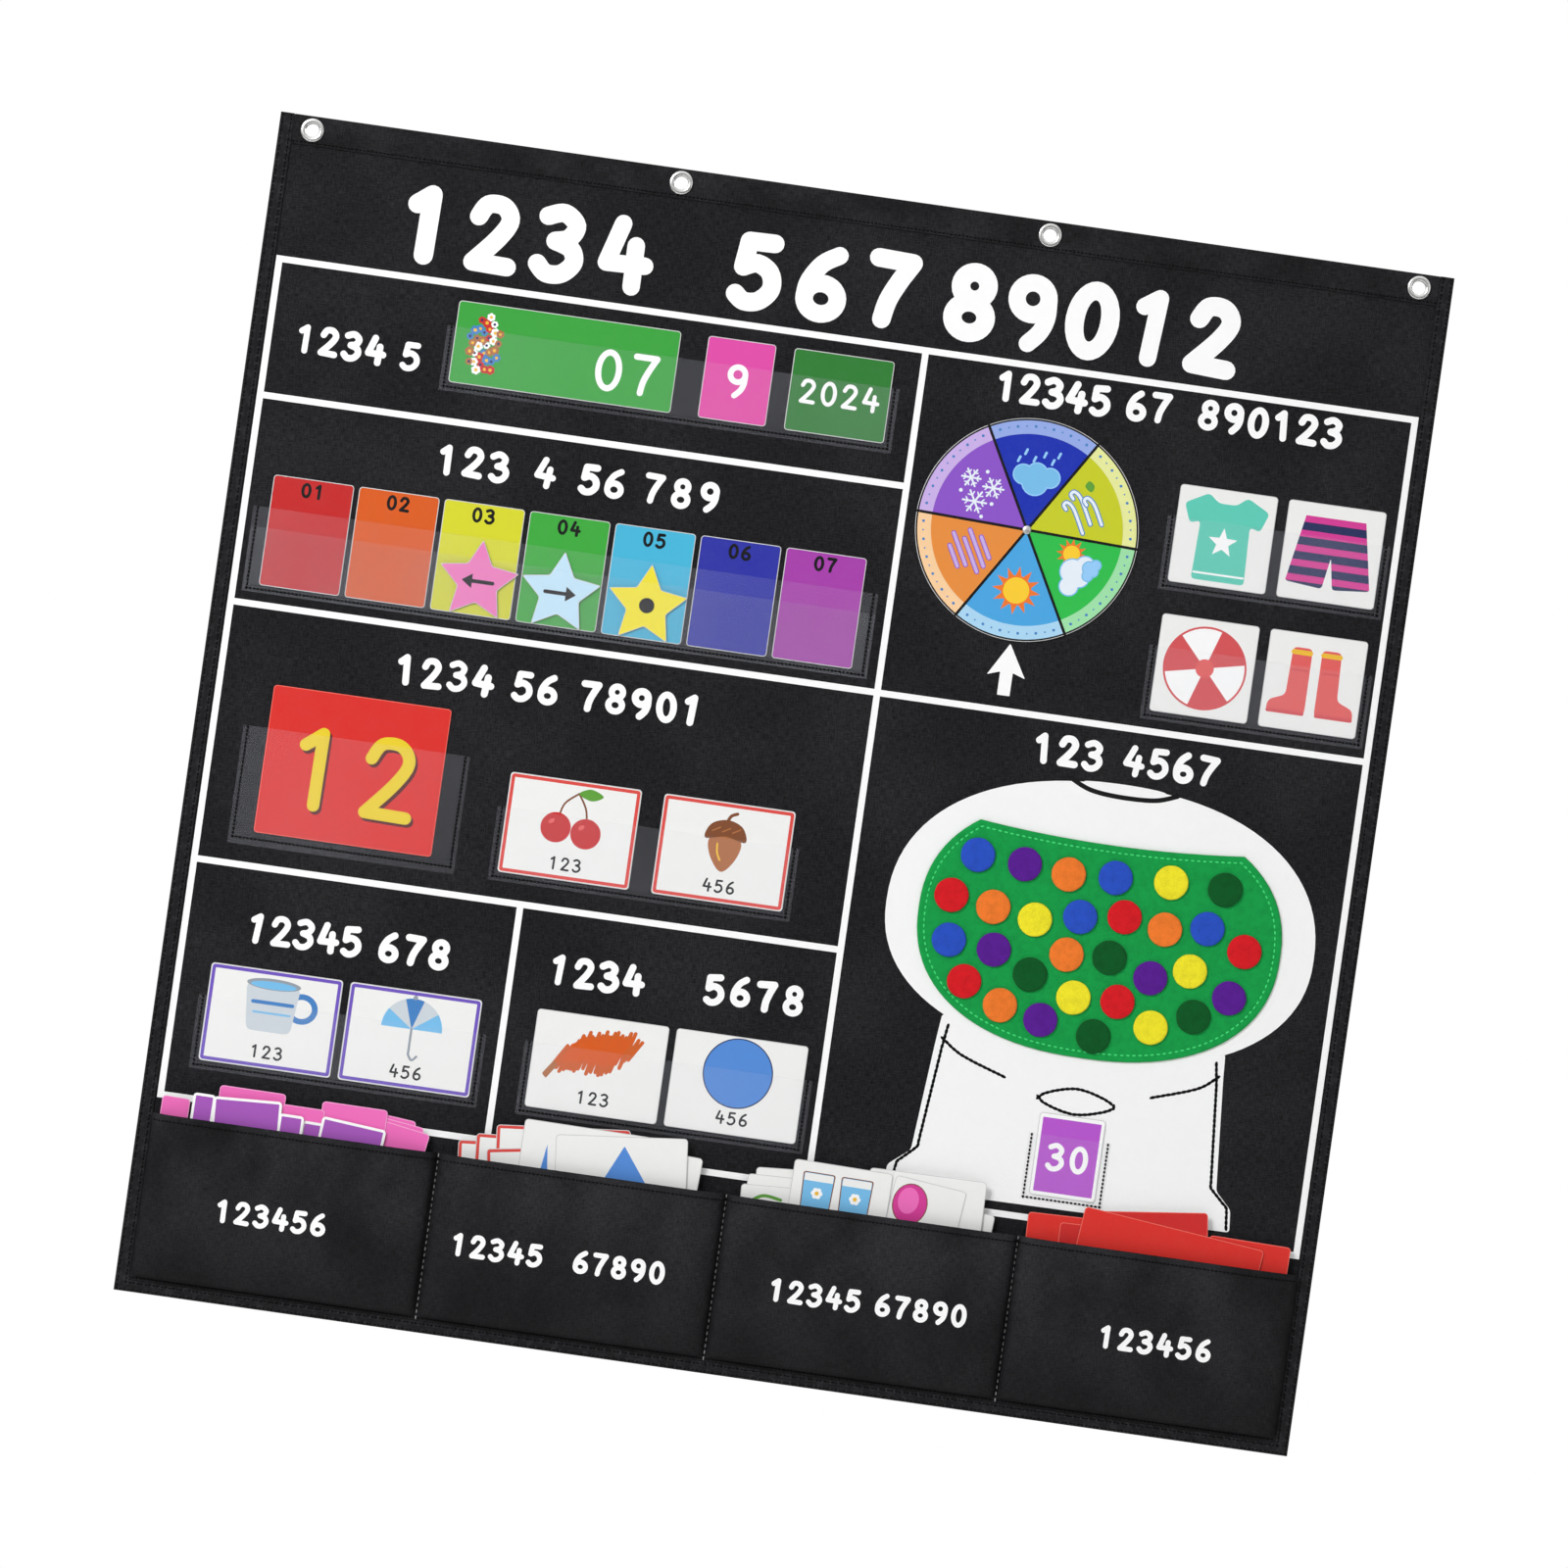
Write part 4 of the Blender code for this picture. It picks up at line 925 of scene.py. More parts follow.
lines = {"width": 4.4, "spots": 12.0, "left": 12.9, "right": 787.1, "top": 98.4, "foot": 668.0,
         "todayLow": 191.0, "middle": 331.6, "rhymeTop": 507.0, "column": 453.6, "shapeColumn": 235.4}
ruledRows = (("top", "left", "right"), ("foot", "left", "right"), ("todayLow", "left", "column"),
             ("middle", "left", "right"), ("rhymeTop", "left", "column"))
ruledColumns = (("left", "top", "foot"), ("right", "top", "foot"), ("column", "top", "foot"),
                ("shapeColumn", "rhymeTop", "foot"))


def makeRuledLines():
    half = lines["width"] / 2
    shapes, spots = [], []
    for row, start, end in ruledRows:
        y = -lines[row]
        shapes += fill("white", boxOf(lines[start] - half, y - half, lines[end] + half, y + half))
        spots += [(x, y) for x in np.arange(lines[start], lines[end], lines["spots"])]
    for column, start, end in ruledColumns:
        x = lines[column]
        shapes += fill("white", boxOf(x - half, -lines[end], x + half, -lines[start]))
    for column in ("left", "right", "column", "shapeColumn"):
        spots += [(lines[column], -y) for y in np.arange(lines["top"], lines["foot"], lines["spots"])]
    printOnPanel("ruledLines", shapes, spots)


makeRuledLines()

# Headings: figures in the size of the real headings
title = {"weight": 0.25, "wobble": 1.0, "seed": 11,
         "rows": (("1234", 176, 62, 49, 0.92), ("567", 379, 62, 49, 0.94), ("89012", 562, 62, 49, 0.84))}
headings = {
    "weight": 0.225, "wobble": 1.0, "seed": 40,
    "rows": (("1234", 62, 150, 19, 0.84), ("5", 110, 151, 19, 0.84), ("123", 162, 216.5, 20, 0.88),
             ("4", 211, 216.5, 20, 0.88), ("56", 250, 216.5, 20, 0.86), ("789", 304, 216.5, 20, 0.94),
             ("1234", 163, 361, 20, 0.88), ("56", 225, 361, 20, 0.86), ("78901", 297, 361, 20, 0.86),
             ("12345", 94, 548, 20, 0.80), ("678", 169, 548, 20, 0.86), ("1234", 293, 547, 20, 0.84),
             ("5678", 400, 545, 20, 0.90), ("12345", 543, 115, 20, 0.80), ("67", 608, 115, 20, 0.84),
             ("890123", 691, 115, 20, 0.84), ("123", 587, 353, 20, 0.84), ("4567", 657, 353, 20, 0.84)),
}
printOnPanel("titleFigures", figureRows(title))
printOnPanel("headingFigures", figureRows(headings))

pointer = {"x": 538.0, "tip": 286.7, "foot": 321.5, "wide": 26.0, "head": 22.0, "notch": 3, "shaft": 8.6,
           "blunt": 0.8}


def pointerLoop():
    wing, shaft, wingFoot = pointer["wide"] / 2, pointer["shaft"] / 2, pointer["tip"] + pointer["head"]
    half = [(0.3, pointer["tip"]), (wing, wingFoot), (shaft, wingFoot - pointer["notch"]),
            (shaft, pointer["foot"])]
    left = [(pointer["x"] - a, -y) for a, y in half]
    return blunted(left + [(pointer["x"] + a, -y) for a, y in reversed(half)], pointer["blunt"])


printOnPanel("wheelPointer", fill("white", pointerLoop()))

machine = {"x": 625.1, "middle": 469.5, "half": 145.6, "top": 370.5, "low": 558.0, "power": 2.25,
           "seamLift": 0.0002, "seamStep": 0.004}


def superPoint(angle, wide, tall, power):
    c, s = math.cos(angle), math.sin(angle)
    return math.copysign(abs(c) ** (2 / power), c) * wide, math.copysign(abs(s) ** (2 / power), s) * tall


def makeCountingMachine():
    x, middle = machine["x"], machine["middle"]
    globe = []
    for angle in turns(96):
        tall = middle - machine["top"] if math.sin(angle) > 0 else machine["low"] - middle
        a, b = superPoint(angle, machine["half"], tall, machine["power"])
        globe.append((x + a, b - middle))
    base = [(-97.5, -540), (-99.5, -560), (-105.6, -633.7), (-120, -645.5), (-121, -660.5), (115, -659),
            (113.6, -643.8), (102.4, -632.5), (96.5, -558), (95.5, -540)]
    neck = [(-34, -370.0), (-20, -376.2), (0, -378.4), (24, -377.5), (39, -372.6)]
    opening = [(-25, -371.2), (4, -369.6), (31, -371.6), (8, -376.4)]
    base, neck, opening = [[(x + a, y) for a, y in part] for part in (base, neck, opening)]
    shapes = fill("machineWhite", globe) + fill("machineWhite", blunted(base, 2.5))
    shapes += penLine(neck, 3.2, "black")
    shapes += fill("machineWhite", curved(opening, True))
    printOnPanel("countingMachine", shapes, net(shapes, panelPrint["net"]))


def machineSeams():
    # the lines sewn on the white print: the base's sides, two short folds and the coin slot
    x = machine["x"]
    runs = []
    for side, near, far in ((-1, 92.6, 101.6), (1, 90.5, 98.4)):
        edge = ((near, -548), (near + 2, -562), (far, -631), (far + 12.5, -643), (far + 14, -656))
        fold = ((near + 2, -556.5), (80, -566), (51, -576))
        runs += [[(x + side * a, y) for a, y in edge], curved([(x + side * a, y) for a, y in fold])]
    slot = curved([(x - 25.2, -586.5), (x, -577.5), (x + 26, -586.3), (x, -594.8)], True, 8)
    runs.append(slot + slot[:1])
    seams = []
    for run in runs:
        places = [(across(a), down(-b)) for a, b in run]
        fine = [spaced(first, last, machine["seamStep"]) for first, last in zip(places, places[1:])]
        points = [point for stretch in fine for point in stretch[:-1]] + [Vector(places[-1])]
        seams.append([(p.x, panelAt(p.x, p.y) - machine["seamLift"], p.y) for p in points])
    return seams


makeCountingMachine()
print("the panel is printed")


# Storage panel: one cloth with four bulging pockets
dividers = [storageLow.x + share * (storageHigh.x - storageLow.x)
            for share in (0.0, 0.2496, 0.5010, 0.7556, 1.0)]
storage = {"thickness": 0.0008, "seam": 0.0015, "footSeam": 0.003, "shoulder": 0.046, "power": 3.0,
           "mouth": 0.92, "hem": 0.0052, "hemFold": 0.0006, "pucker": 0.0007, "puckerReach": 0.014,
           "fold": 0.0011, "smallFold": 0.0006, "columns": 460, "rows": 96}


def shoulderShare(offset):
    rest = 1 - min(max(offset / storage["shoulder"], 0.0), 1.0)
    return (1 - rest ** storage["power"]) ** (1 / storage["power"])


def storageFront(x, z):
    # y of the storage cloth's front
    back = storageHigh.y - storage["thickness"]
    beside = min(abs(x - edge) for edge in dividers) - storage["seam"]
    above = z - storageLow.z - storage["footSeam"]
    sideShare = shoulderShare(beside)
    slack = max(0.0, above - storage["shoulder"]) / (storageHigh.z - storageLow.z - storage["shoulder"])
    bulge = (back - storageLow.y) * sideShare * shoulderShare(above) * (1 - (1 - storage["mouth"]) * slack)
    drawn = math.exp(-max(beside, 0) / storage["puckerReach"]) * min(1.0, max(above, 0) / 0.02)
    pucker = storage["pucker"] * drawn * (0.5 + 0.5 * math.sin(z * 520 + 3 * math.sin(x * 31)))
    broad = 0.5 + 0.5 * noise.noise(Vector((x * 21 + z * 9, 1.7, z * 26 - x * 7)))
    small = 0.5 + 0.5 * noise.noise(Vector((x * 60, 5.2, z * 44)))
    folds = (storage["fold"] * broad + storage["smallFold"] * small) * sideShare
    fade = min(1.0, max(above, 0) / 0.01)
    hem = min(1.0, max(0.0, z - (storageHigh.z - storage["hem"])) / storage["hemFold"]) * storage["hemFold"]
    return back - bulge - (pucker + folds) * fade - hem


storagePanel = gridPlate("storagePanel", np.linspace(storageLow.x, storageHigh.x, storage["columns"] + 1),
                         np.linspace(storageLow.z, storageHigh.z, storage["rows"] + 1), storageFront,
                         storage["thickness"], finishes["storage"], "storage_fabric", 50)
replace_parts(storagePanel, "storage_pocket_panel")

labels = {"weight": 0.225, "wobble": 0.3, "seed": 70,
          "rows": (("123456", 99.5, 739, 15, 0.86), ("12345", 253, 739, 15, 0.86),
                   ("67890", 336, 739, 15, 0.86), ("12345", 469, 739, 15, 0.86),
                   ("67890", 541, 739, 15, 0.86), ("123456", 700, 739, 15, 0.88))}
labelShapes = figureRows(labels)
printOn(storageFront, storagePrint, "storageFigures", labelShapes, net(labelShapes, storagePrint["net"]))
print("the storage pockets are shaped")


# Clear pockets: the height of each foot seam and how far the loose film waves
filmPockets = {
    "today_pocket": (0.0052, 0.0005), "weekday_pocket_back": (0.0043, 0.0001),
    "weekday_pocket_front": (0.0043, 0.0006), "letter_pocket": (0.0085, 0.0005),
    "picture_pocket": (0.0052, 0.0005), "rhyme_pocket": (0.0052, 0.0005),
    "colour_shape_pocket": (0.0052, 0.0005), "clothes_pocket_upper": (0.0052, 0.0005),
    "clothes_pocket_lower": (0.0052, 0.0005), "number_pocket": (0.003, 0.0005),
}
filmLook = {"thickness": 0.0003, "side": 0.0036, "slope": 0.0006, "taut": 0.02, "columns": 90, "rows": 26}


def camelName(node):
    first, *others = node.split("_")
    return first + "".join(word.capitalize() for word in others)


def makeFilm(node, seed):
    low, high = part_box(node)
    footSeam, wave = filmPockets[node]
    side, slope, back = filmLook["side"], filmLook["slope"], high.y - filmLook["thickness"]

    def frontAt(x, z):
        inward = min(x - low.x, high.x - x) - side
        upward = z - low.z - footSeam
        lift = min(max(inward / slope, 0.0), 1.0) * min(max(upward / slope, 0.0), 1.0)
        loose = min(1.0, max(0.0, inward) / filmLook["taut"]) * max(0.0, upward) / (high.z - low.z - footSeam)
        ripple = noise.noise(Vector((x * 19, seed * 3.3, z * 8)))
        return back - (back - low.y) * lift - wave * loose * loose * (0.55 + 0.8 * max(-0.6, ripple))

    # columns and rows gather at the seams, where the film bends
    xs = [low.x, low.x + side, *np.linspace(low.x + side + slope, high.x - side - slope, filmLook["columns"]),
          high.x - side, high.x]
    zs = [low.z, low.z + footSeam, *np.linspace(low.z + footSeam + slope, high.z, filmLook["rows"])]
    made = gridPlate(camelName(node), xs, zs, frontAt, filmLook["thickness"], finishes["film"], "clear_film",
                     40)
    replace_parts(made, node)


for seed, node in enumerate(filmPockets):
    makeFilm(node, seed)
print("the clear pockets are in place")

# Cards, drawn in millimetres about their middle
cardLook = {"corner": 2.4, "rim": 0.55, "edgeDrop": 0.0001}


def cardShapes(wide, tall, ink, corner=cardLook["corner"], rim="rim"):
    inset = cardLook["rim"]
    inner = insetBox(wide, tall, inset, max(0.3, corner - inset))
    return fill(rim, insetBox(wide, tall, 0, corner)) + fill(ink, inner)


def borderShapes(wide, tall, inset, width, ink, inside, corner=2.0):
    inner = insetBox(wide, tall, inset + width, max(0.4, corner - width))
    return fill(ink, insetBox(wide, tall, inset, corner)) + fill(inside, inner)


def cardPlate(shapes, front, back, toChart, edgeDrop):
    # toChart carries a point of the card to its (x, z) on the chart
    def at(point, y):
        x, z = toChart(point)
        return x, y, z

    return plateFaces(paintSheet(shapes, base=True), lambda p: at(p, front), lambda p: at(p, back), "paper",
                      "rim", edgeDrop)


def makeCard(node, shapes, slotName):
    low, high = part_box(node)
    middle = middleOf(node)
    plate = cardPlate(shapes, low.y, high.y, lambda p: (middle.x + p[0] * mm, middle.z + p[1] * mm),
                      cardLook["edgeDrop"])
    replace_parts(newPiece(camelName(node), plate, finishes["card"], slotName, node), node)


def flower(x, y, radius, petal, eye, turn=0.0):
    shapes = []
    for angle in turns(6):
        shapes += spot(*polar(x, y, 0.58 * radius, turn + angle), 0.42 * radius, petal, steps=12)
    return shapes + spot(x, y, 0.36 * radius, eye, steps=12)


bed = {"flowers": 34, "spiral": 2.4, "x": 21, "wide": 11.5, "tall": 20,
       "petals": ("white", "fruitRed", "steelBlue", "nutBrown")}


def monthArt(wide, tall):
    shapes = cardShapes(wide, tall, "monthGreen")
    for step in range(bed["flowers"]):  # a round-ended bed of small flowers, laid in a spiral
        reach, angle = math.sqrt((step + 0.5) / bed["flowers"]), bed["spiral"] * step
        x = -wide / 2 + bed["x"] + bed["wide"] * reach * math.cos(angle)
        shapes += flower(x, bed["tall"] * reach * math.sin(angle), 2.5 + 0.8 * ((step * 5) % 3) / 2,
                         bed["petals"][(step * 7) % 4], "gold" if step % 3 else "navy", step)
    return shapes + figures("07", 43, -5, 29, "white", 0.145, 0.86)


def plainNumberArt(text, ink, height, figureInk="white", y=0.0, weight=0.19, pitch=0.76):
    return lambda wide, tall: (cardShapes(wide, tall, ink)
                               + figures(text, 0.0, y * tall, height, figureInk, weight, pitch))


def letterArt(wide, tall):
    # the card's paler red rim is a painted highlight along its edge
    shapes = cardShapes(wide, tall, "letterRed", rim="redEdge")
    shapes += figures("12", 2.4, -4.5, 58, "shadow", 0.145, 0.84)
    return shapes + figures("12", 0.6, -2.6, 58, "letterYellow", 0.145, 0.84)


def numberCardArt(wide, tall):
    shapes = cardShapes(wide, tall, "white")
    shapes += fill("numberPurple", boxOf(-wide / 2 + 2.6, -tall / 2 + 2.8, wide / 2 - 2.6, tall / 2 - 3.0))
    return shapes + figures("30", 0, -1, 18.5, "white", 0.19, 0.86)


def cherryArt():
    shapes = []
    for stalk in ([(-9, 2), (-6, 13), (3, 21)], [(11, 0), (9, 11), (3, 21)]):
        shapes += penLine(stalk, 1.3, "nutDark")
    shapes += fill("leafGreen", curved([(3, 21), (11, 25), (20, 21), (12, 17)], True))
    for x, y in ((-10, -4), (11, -6)):
        shapes += spot(x, y, 10.5, "fruitRed") + spot(x - 3.4, y + 4, 2.4, "salmon", 1.5, 0.7)
    return shapes


def acornArt():
    shapes = fill("nutBrown", curved([(-11, 3), (-9, -9), (0, -19), (9, -9), (11, 3), (0, 6)], True))
    shapes += fill("nutDark", curved([(-14, 3), (-11, 13), (0, 17), (11, 13), (14, 3), (0, 5.5)], True))
    shapes += penLine([(0, 16), (2, 20), (6, 22)], 2.2, "nutDark")
    for x in (-7, 0, 7):
        shapes += cornered([(x - 2.6, 8.5), (x + 2.6, 11.5)], 0.9, "nutBrown")
    return shapes + penLine([(-5, 0), (-4.4, -6), (-2, -11)], 1.3, "gold")


def mugArt():
    shapes = fill("steelBlue", oval(17, 3, 9.5, 9), oval(17, 3, 6, 5.6))
    shapes += fill("paleGrey", blunted([(-17, 15), (-14, -13), (12, -13), (15, 15)], 4))
    shapes += spot(-1, 15, 16, "grey", 3.4) + spot(-1, 14.4, 13.6, "skyBlue", 2.3)
    shapes += cornered([(-12, 4), (11.4, 4)], 2.2, "steelBlue")
    return shapes + cornered([(-11, -2), (10.6, -2)], 1.2, "skyBlue")


def umbrellaArt():
    shapes = []
    for index, ink in enumerate(("skyBlue", "paleGrey", "steelBlue", "paleGrey", "skyBlue")):
        shapes += fill(ink, wedge(0, 1, 0, 18, 36 * index, 36 * index + 36))
    shapes += cornered([(0, 1), (0, -14)], 1.4, "grey")
    shapes += penLine([(0, -14), (2.4, -17), (5, -14.6)], 1.4, "grey")
    return shapes + spot(0, 19.6, 1.4, "grey", steps=12)


def patchArt():
    # a zigzag crayon stroke inside a leaning oval, and the crayon's tip
    chance = random.Random(8)
    points = []
    x = -26.0
    while x < 25:
        reach = 17 * math.sqrt(max(0.08, 1 - (x / 29) ** 2))
        points.append((x - 4, 0.22 * x - reach * chance.uniform(0.62, 1.0)))
        points.append((x + 4, 0.22 * x + reach * chance.uniform(0.62, 1.05)))
        x += chance.uniform(2.0, 3.4)
    shapes = cornered(points, 2.5, "scribble")
    shapes += cornered([(a + 1.3, 0.66 * b + 2) for a, b in points[3:-6]], 2.6, "cardOrange")
    shapes += fill("nutBrown", blunted([(-37, -19), (-30, -9), (-27, -12), (-34, -22)], 0.8))
    return shapes + fill("scribble", [(-30, -9), (-27, -12), (-24.5, -7)])


def discArt():
    return spot(0, 0, 23.8, "navy", steps=72) + spot(0, 0, 23.0, "circleBlue", steps=72)


def teeArt():
    shirt = [(-11, 25), (-24, 18), (-20, 7), (-14, 9), (-15, -24), (15, -24), (14, 9), (20, 7), (24, 18),
             (11, 25), (5, 20), (-5, 20)]
    return (fill("mint", blunted(shirt, 2.4)) + fill("white", starLoop(0, -2, 8.5, 3.6))
            + cornered([(-14, -20), (14, -20)], 1.1, "white"))


def shortsArt():
    def legEdges(y):
        return [(max(0.0, 3 * (-2 - y) / 18), y), (17 + 7 * (20 - y) / 38, y)]  # inner, outer

    shapes = fill("navy",
                  blunted([(-17, 20), (17, 20), (24, -18), (3, -20), (0, -2), (-3, -20), (-24, -18)], 2))
    for row in range(5):
        stripe = legEdges(20.0 - 8.4 * row) + legEdges(16.2 - 8.4 * row)[::-1]
        for side in (-1, 1):
            shapes += fill("hotPink", [(side * x, y) for x, y in stripe])
    return shapes


def ballArt():
    shapes = spot(0, 0, 24, "white", steps=48)
    for start in (12, 132, 252):
        shapes += fill("buoyRed", wedge(0, 0, 5, 24, start, start + 60))
    shapes += fill("buoyRed", oval(0, 0, 24.4, 24.4, 48), oval(0, 0, 23.2, 23.2, 48))
    return shapes + spot(0, 0, 5.4, "salmon")


def bootsArt():
    shapes = []
    for side in (-1, 1):
        boot = [(side * x, y) for x, y in ((3, 22), (15, 22), (16, -8), (26, -12), (27, -19), (3, -19))]
        shapes += fill("salmon", blunted(boot, 3))
        for near, far, y, width, ink in ((4.4, 25.6, -18.4, 2.4, "buoyRed"), (4, 14.4, 19, 3.0, "gold"),
                                         (4.6, 14, 8, 1.2, "buoyRed")):
            shapes += cornered([(side * near, y), (side * far, y)], width, ink)
    return shapes


def placed(shapes, x, y, scale=1.0, turn=0.0):
    return [(ink, [[swung(x, y, a * scale, b * scale, turn) for a, b in loop] for loop in loops])
            for ink, loops in shapes]


def pictureCard(art, scale, lift, borderInk=None, caption=""):
    def build(wide, tall):
        shapes = cardShapes(wide, tall, "paper")
        if borderInk:
            shapes += borderShapes(wide, tall, 0.9, 2.3, borderInk, "paper")
        return (shapes + placed(art, 0, lift, scale)
                + figures(caption, 0, -tall / 2 + 11.2, 9.2, "ink", 0.155, 0.86))
    return build


def starArt(direction, ink):
    # a five-pointed star with an arrow that points left or right, or with a dot
    def build(wide, tall):
        radius = tall / (1 + math.cos(math.pi / 5))
        y = tall / 2 - radius
        shapes = []
        for name, outer, blunt in (("rim", radius, 1.6), (ink, radius - 0.9, 1.4)):
            shapes += fill(name, blunted(starLoop(0, y, outer, outer * 0.5), blunt))
        if not direction:
            return shapes + spot(0, y, 5.2, "ink")
        shapes += cornered([(-10 * direction, y), (7 * direction, y)], 2.6, "ink")
        return shapes + fill("ink", [(11 * direction, y), (4 * direction, y + 5.0), (4 * direction, y - 5.0)])
    return build


cards = {
    "month_card": (monthArt, "card_green"),
    "date_card": (plainNumberArt("9", "datePink", 23, weight=0.17), "card_pink"),
    "year_card": (plainNumberArt("2024", "yearGreen", 17, weight=0.16, pitch=0.84), "card_dark_green"),
    "letter_card": (letterArt, "card_red"),
    "picture_card_1": (pictureCard(cherryArt(), 0.98, 5, "borderRed", "123"), "card_white"),
    "picture_card_2": (pictureCard(acornArt(), 0.98, 5.5, "borderRed", "456"), "card_white"),
    "rhyme_card_1": (pictureCard(mugArt(), 1.15, 6.5, "borderPurple", "123"), "card_white"),
    "rhyme_card_2": (pictureCard(umbrellaArt(), 1.15, 6, "borderPurple", "456"), "card_white"),
    "colour_card": (pictureCard(patchArt(), 0.98, 9, caption="123"), "card_white"),
    "shape_card": (pictureCard(discArt(), 1.0, 8.5, caption="456"), "card_white"),
    "clothes_card_1": (pictureCard(teeArt(), 1.2, -0.5), "card_white"),
    "clothes_card_2": (pictureCard(shortsArt(), 1.2, 0), "card_white"),
    "clothes_card_3": (pictureCard(ballArt(), 1.16, 0), "card_white"),
    "clothes_card_4": (pictureCard(bootsArt(), 1.1, -1), "card_white"),
    "number_card": (numberCardArt, "card_purple"),
    "star_pink": (starArt(-1, "starPink"), "card_pink"),
    "star_blue": (starArt(1, "starBlue"), "card_light_blue"),
    "star_yellow": (starArt(0, "starYellow"), "card_yellow"),
}
weekdayInks = {"cardRed": "card_red", "cardOrange": "card_orange", "cardYellow": "card_yellow",
               "cardGreen": "card_green", "cardCyan": "card_light_blue", "cardBlue": "card_blue",
               "cardPurple": "card_purple"}
for number, (ink, slotName) in enumerate(weekdayInks.items(), 1):
    cards[f"weekday_card_{number}"] = (plainNumberArt(f"0{number}", ink, 10, "black", 0.395, 0.21, 0.86),
                                       slotName)
for node, (art, slotName) in cards.items():
    low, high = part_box(node)
    makeCard(node, art((high.x - low.x) / mm, (high.z - low.z) / mm), slotName)
print("the cards are printed")


# Weather wheel
wheel = {"radius": 74.9, "inner": 0.865, "start": -62.0, "hole": 1.9, "dots": 0.935, "symbols": 41.5,
         "steps": 120}
sectors = {"wheelGreen": "cloudy", "wheelYellow": "windy", "wheelDeep": "rainy", "wheelPurple": "snowy",
           "wheelOrange": "foggy", "wheelSky": "sunny"}


def cloudShapes(x, y, size, ink, edge):
    shapes = []
    for name, grow in ((edge, 0.9), (ink, 0.0)):
        for a, b, radius in ((-0.62, -0.1, 0.42), (0.02, 0.2, 0.56), (0.6, -0.08, 0.42), (0.0, -0.22, 0.44)):
            shapes += spot(x + a * size, y + b * size, radius * size + grow, name, steps=20)
    return shapes


def sunShapes(x, y, size):
    shapes = []
    for ray in turns(12):
        shapes += fill("sunRay", [polar(x, y, reach * size, ray + side)
                                  for reach, side in ((1.0, 0.0), (0.58, 0.24), (0.58, -0.24))])
    return shapes + spot(x, y, 0.62 * size, "sunRay") + spot(x, y, 0.54 * size, "sun")


def crystalShapes(x, y, size):
    shapes = []
    for angle in turns(6):
        shapes += cornered([(x, y), polar(x, y, size, angle)], 1.3, "cloud")
        fork = polar(x, y, 0.55 * size, angle)
        for side in (-0.9, 0.9):
            shapes += cornered([fork, polar(*fork, 0.35 * size, angle + side)], 0.9, "cloud")
    return shapes


def weatherSymbol(kind):
    # drawn upright about its own middle, about 34 mm across
    shapes = []
    if kind == "sunny":
        shapes += sunShapes(0, 0, 16.5)
    elif kind == "cloudy":
        shapes += sunShapes(7, 8, 10.5) + cloudShapes(-2, -3, 14.5, "cloud", "skyBlue")
        shapes += cloudShapes(7, -9, 7.5, "drop", "skyBlue")
    elif kind == "windy":
        for y, start, end in ((7, -15, 8), (0, -11, 13), (-7, -14, 6)):
            gust = [(start, y), (end - 6, y), (end, y + 2.4), (end - 0.6, y + 5.4), (end - 4, y + 5)]
            shapes += penLine(gust, 3.4, "steelBlue") + penLine(gust, 2.0, "cloud")
        shapes += fill("leafGreen", curved([(9, -8), (14, -5.5), (16.5, -9.5), (12, -11.5)], True))
    elif kind == "rainy":
        shapes += cloudShapes(0, 6, 15, "skyBlue", "drop")
        for x, y in ((-10, -8), (-4, -12), (2.5, -8), (9, -12), (13, -6.5), (-13.5, -13)):
            shapes += cornered([(x + 1, y + 3.2), (x, y)], 1.7, "drop")
    elif kind == "snowy":
        for x, y, size in ((-7, 6, 7.0), (8, 2, 8.0), (-3, -10, 6.4)):
            shapes += crystalShapes(x, y, size)
        for x, y in ((2, 12), (-13, -4), (8, -10), (13, 12)):
            shapes += spot(x, y, 1.3, "cloud", steps=12)
    elif kind == "foggy":
        for y, start, end in ((11, -6, 9), (5.5, -13, 13), (0, -9, 15), (-5.5, -15, 8), (-11, -8, 7)):
            for width, ink in ((3.4, "wheelPurple"), (2.2, "wheelPurplePale")):
                shapes += cornered([(start, y), (end, y)], width, ink)
    return shapes


def wheelShapes():
    radius, hub, steps = wheel["radius"], wheel["hole"] + 0.6, wheel["steps"]
    shapes = fill("rim", oval(0, 0, radius + 0.6, None, steps), oval(0, 0, wheel["hole"], None, 24))
    for index, ink in enumerate(sectors):
        start = wheel["start"] + 60 * index
        for name, reach in ((ink + "Pale", radius), (ink, radius * wheel["inner"])):
            shapes += fill(name, wedge(0, 0, hub, reach, start, start + 60, 24))
    for index, kind in enumerate(sectors.values()):
        start = math.radians(wheel["start"] + 60 * index)
        middle = start + math.pi / 6
        # a symbol stands upright when its sector is lowest
        shapes += placed(weatherSymbol(kind), *polar(0, 0, wheel["symbols"], middle), 1.0,
                         middle + math.pi / 2)
        shapes += cornered([polar(0, 0, 3, start), polar(0, 0, radius, start)], 1.9, "black")
        for dot in range(1, 12):
            place = polar(0, 0, wheel["dots"] * radius, start + math.radians(5 * dot))
            shapes += spot(*place, 1.0 if dot % 2 else 0.6, "steelBlue", steps=10)
    return shapes + fill("black", oval(0, 0, radius + 0.2, None, steps),
                         oval(0, 0, radius - 0.9, None, steps))


makeCard("weather_wheel", wheelShapes(), "wheel_card")
print("the wheel is printed")


# Felt board and counters
feltLow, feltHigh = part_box("counting_felt")
felt = {"x": (feltLow.x + feltHigh.x) / 2, "half": 123.2, "low": 85.8, "top": 64.3, "dip": 5.0, "power": 2.3,
        "thickness": 1.5 * mm, "stitch": 4.6, "groove": 0.72, "fuzz": 0.05, "net": 6.0}
feltMiddle = feltLow.z + felt["low"] * mm
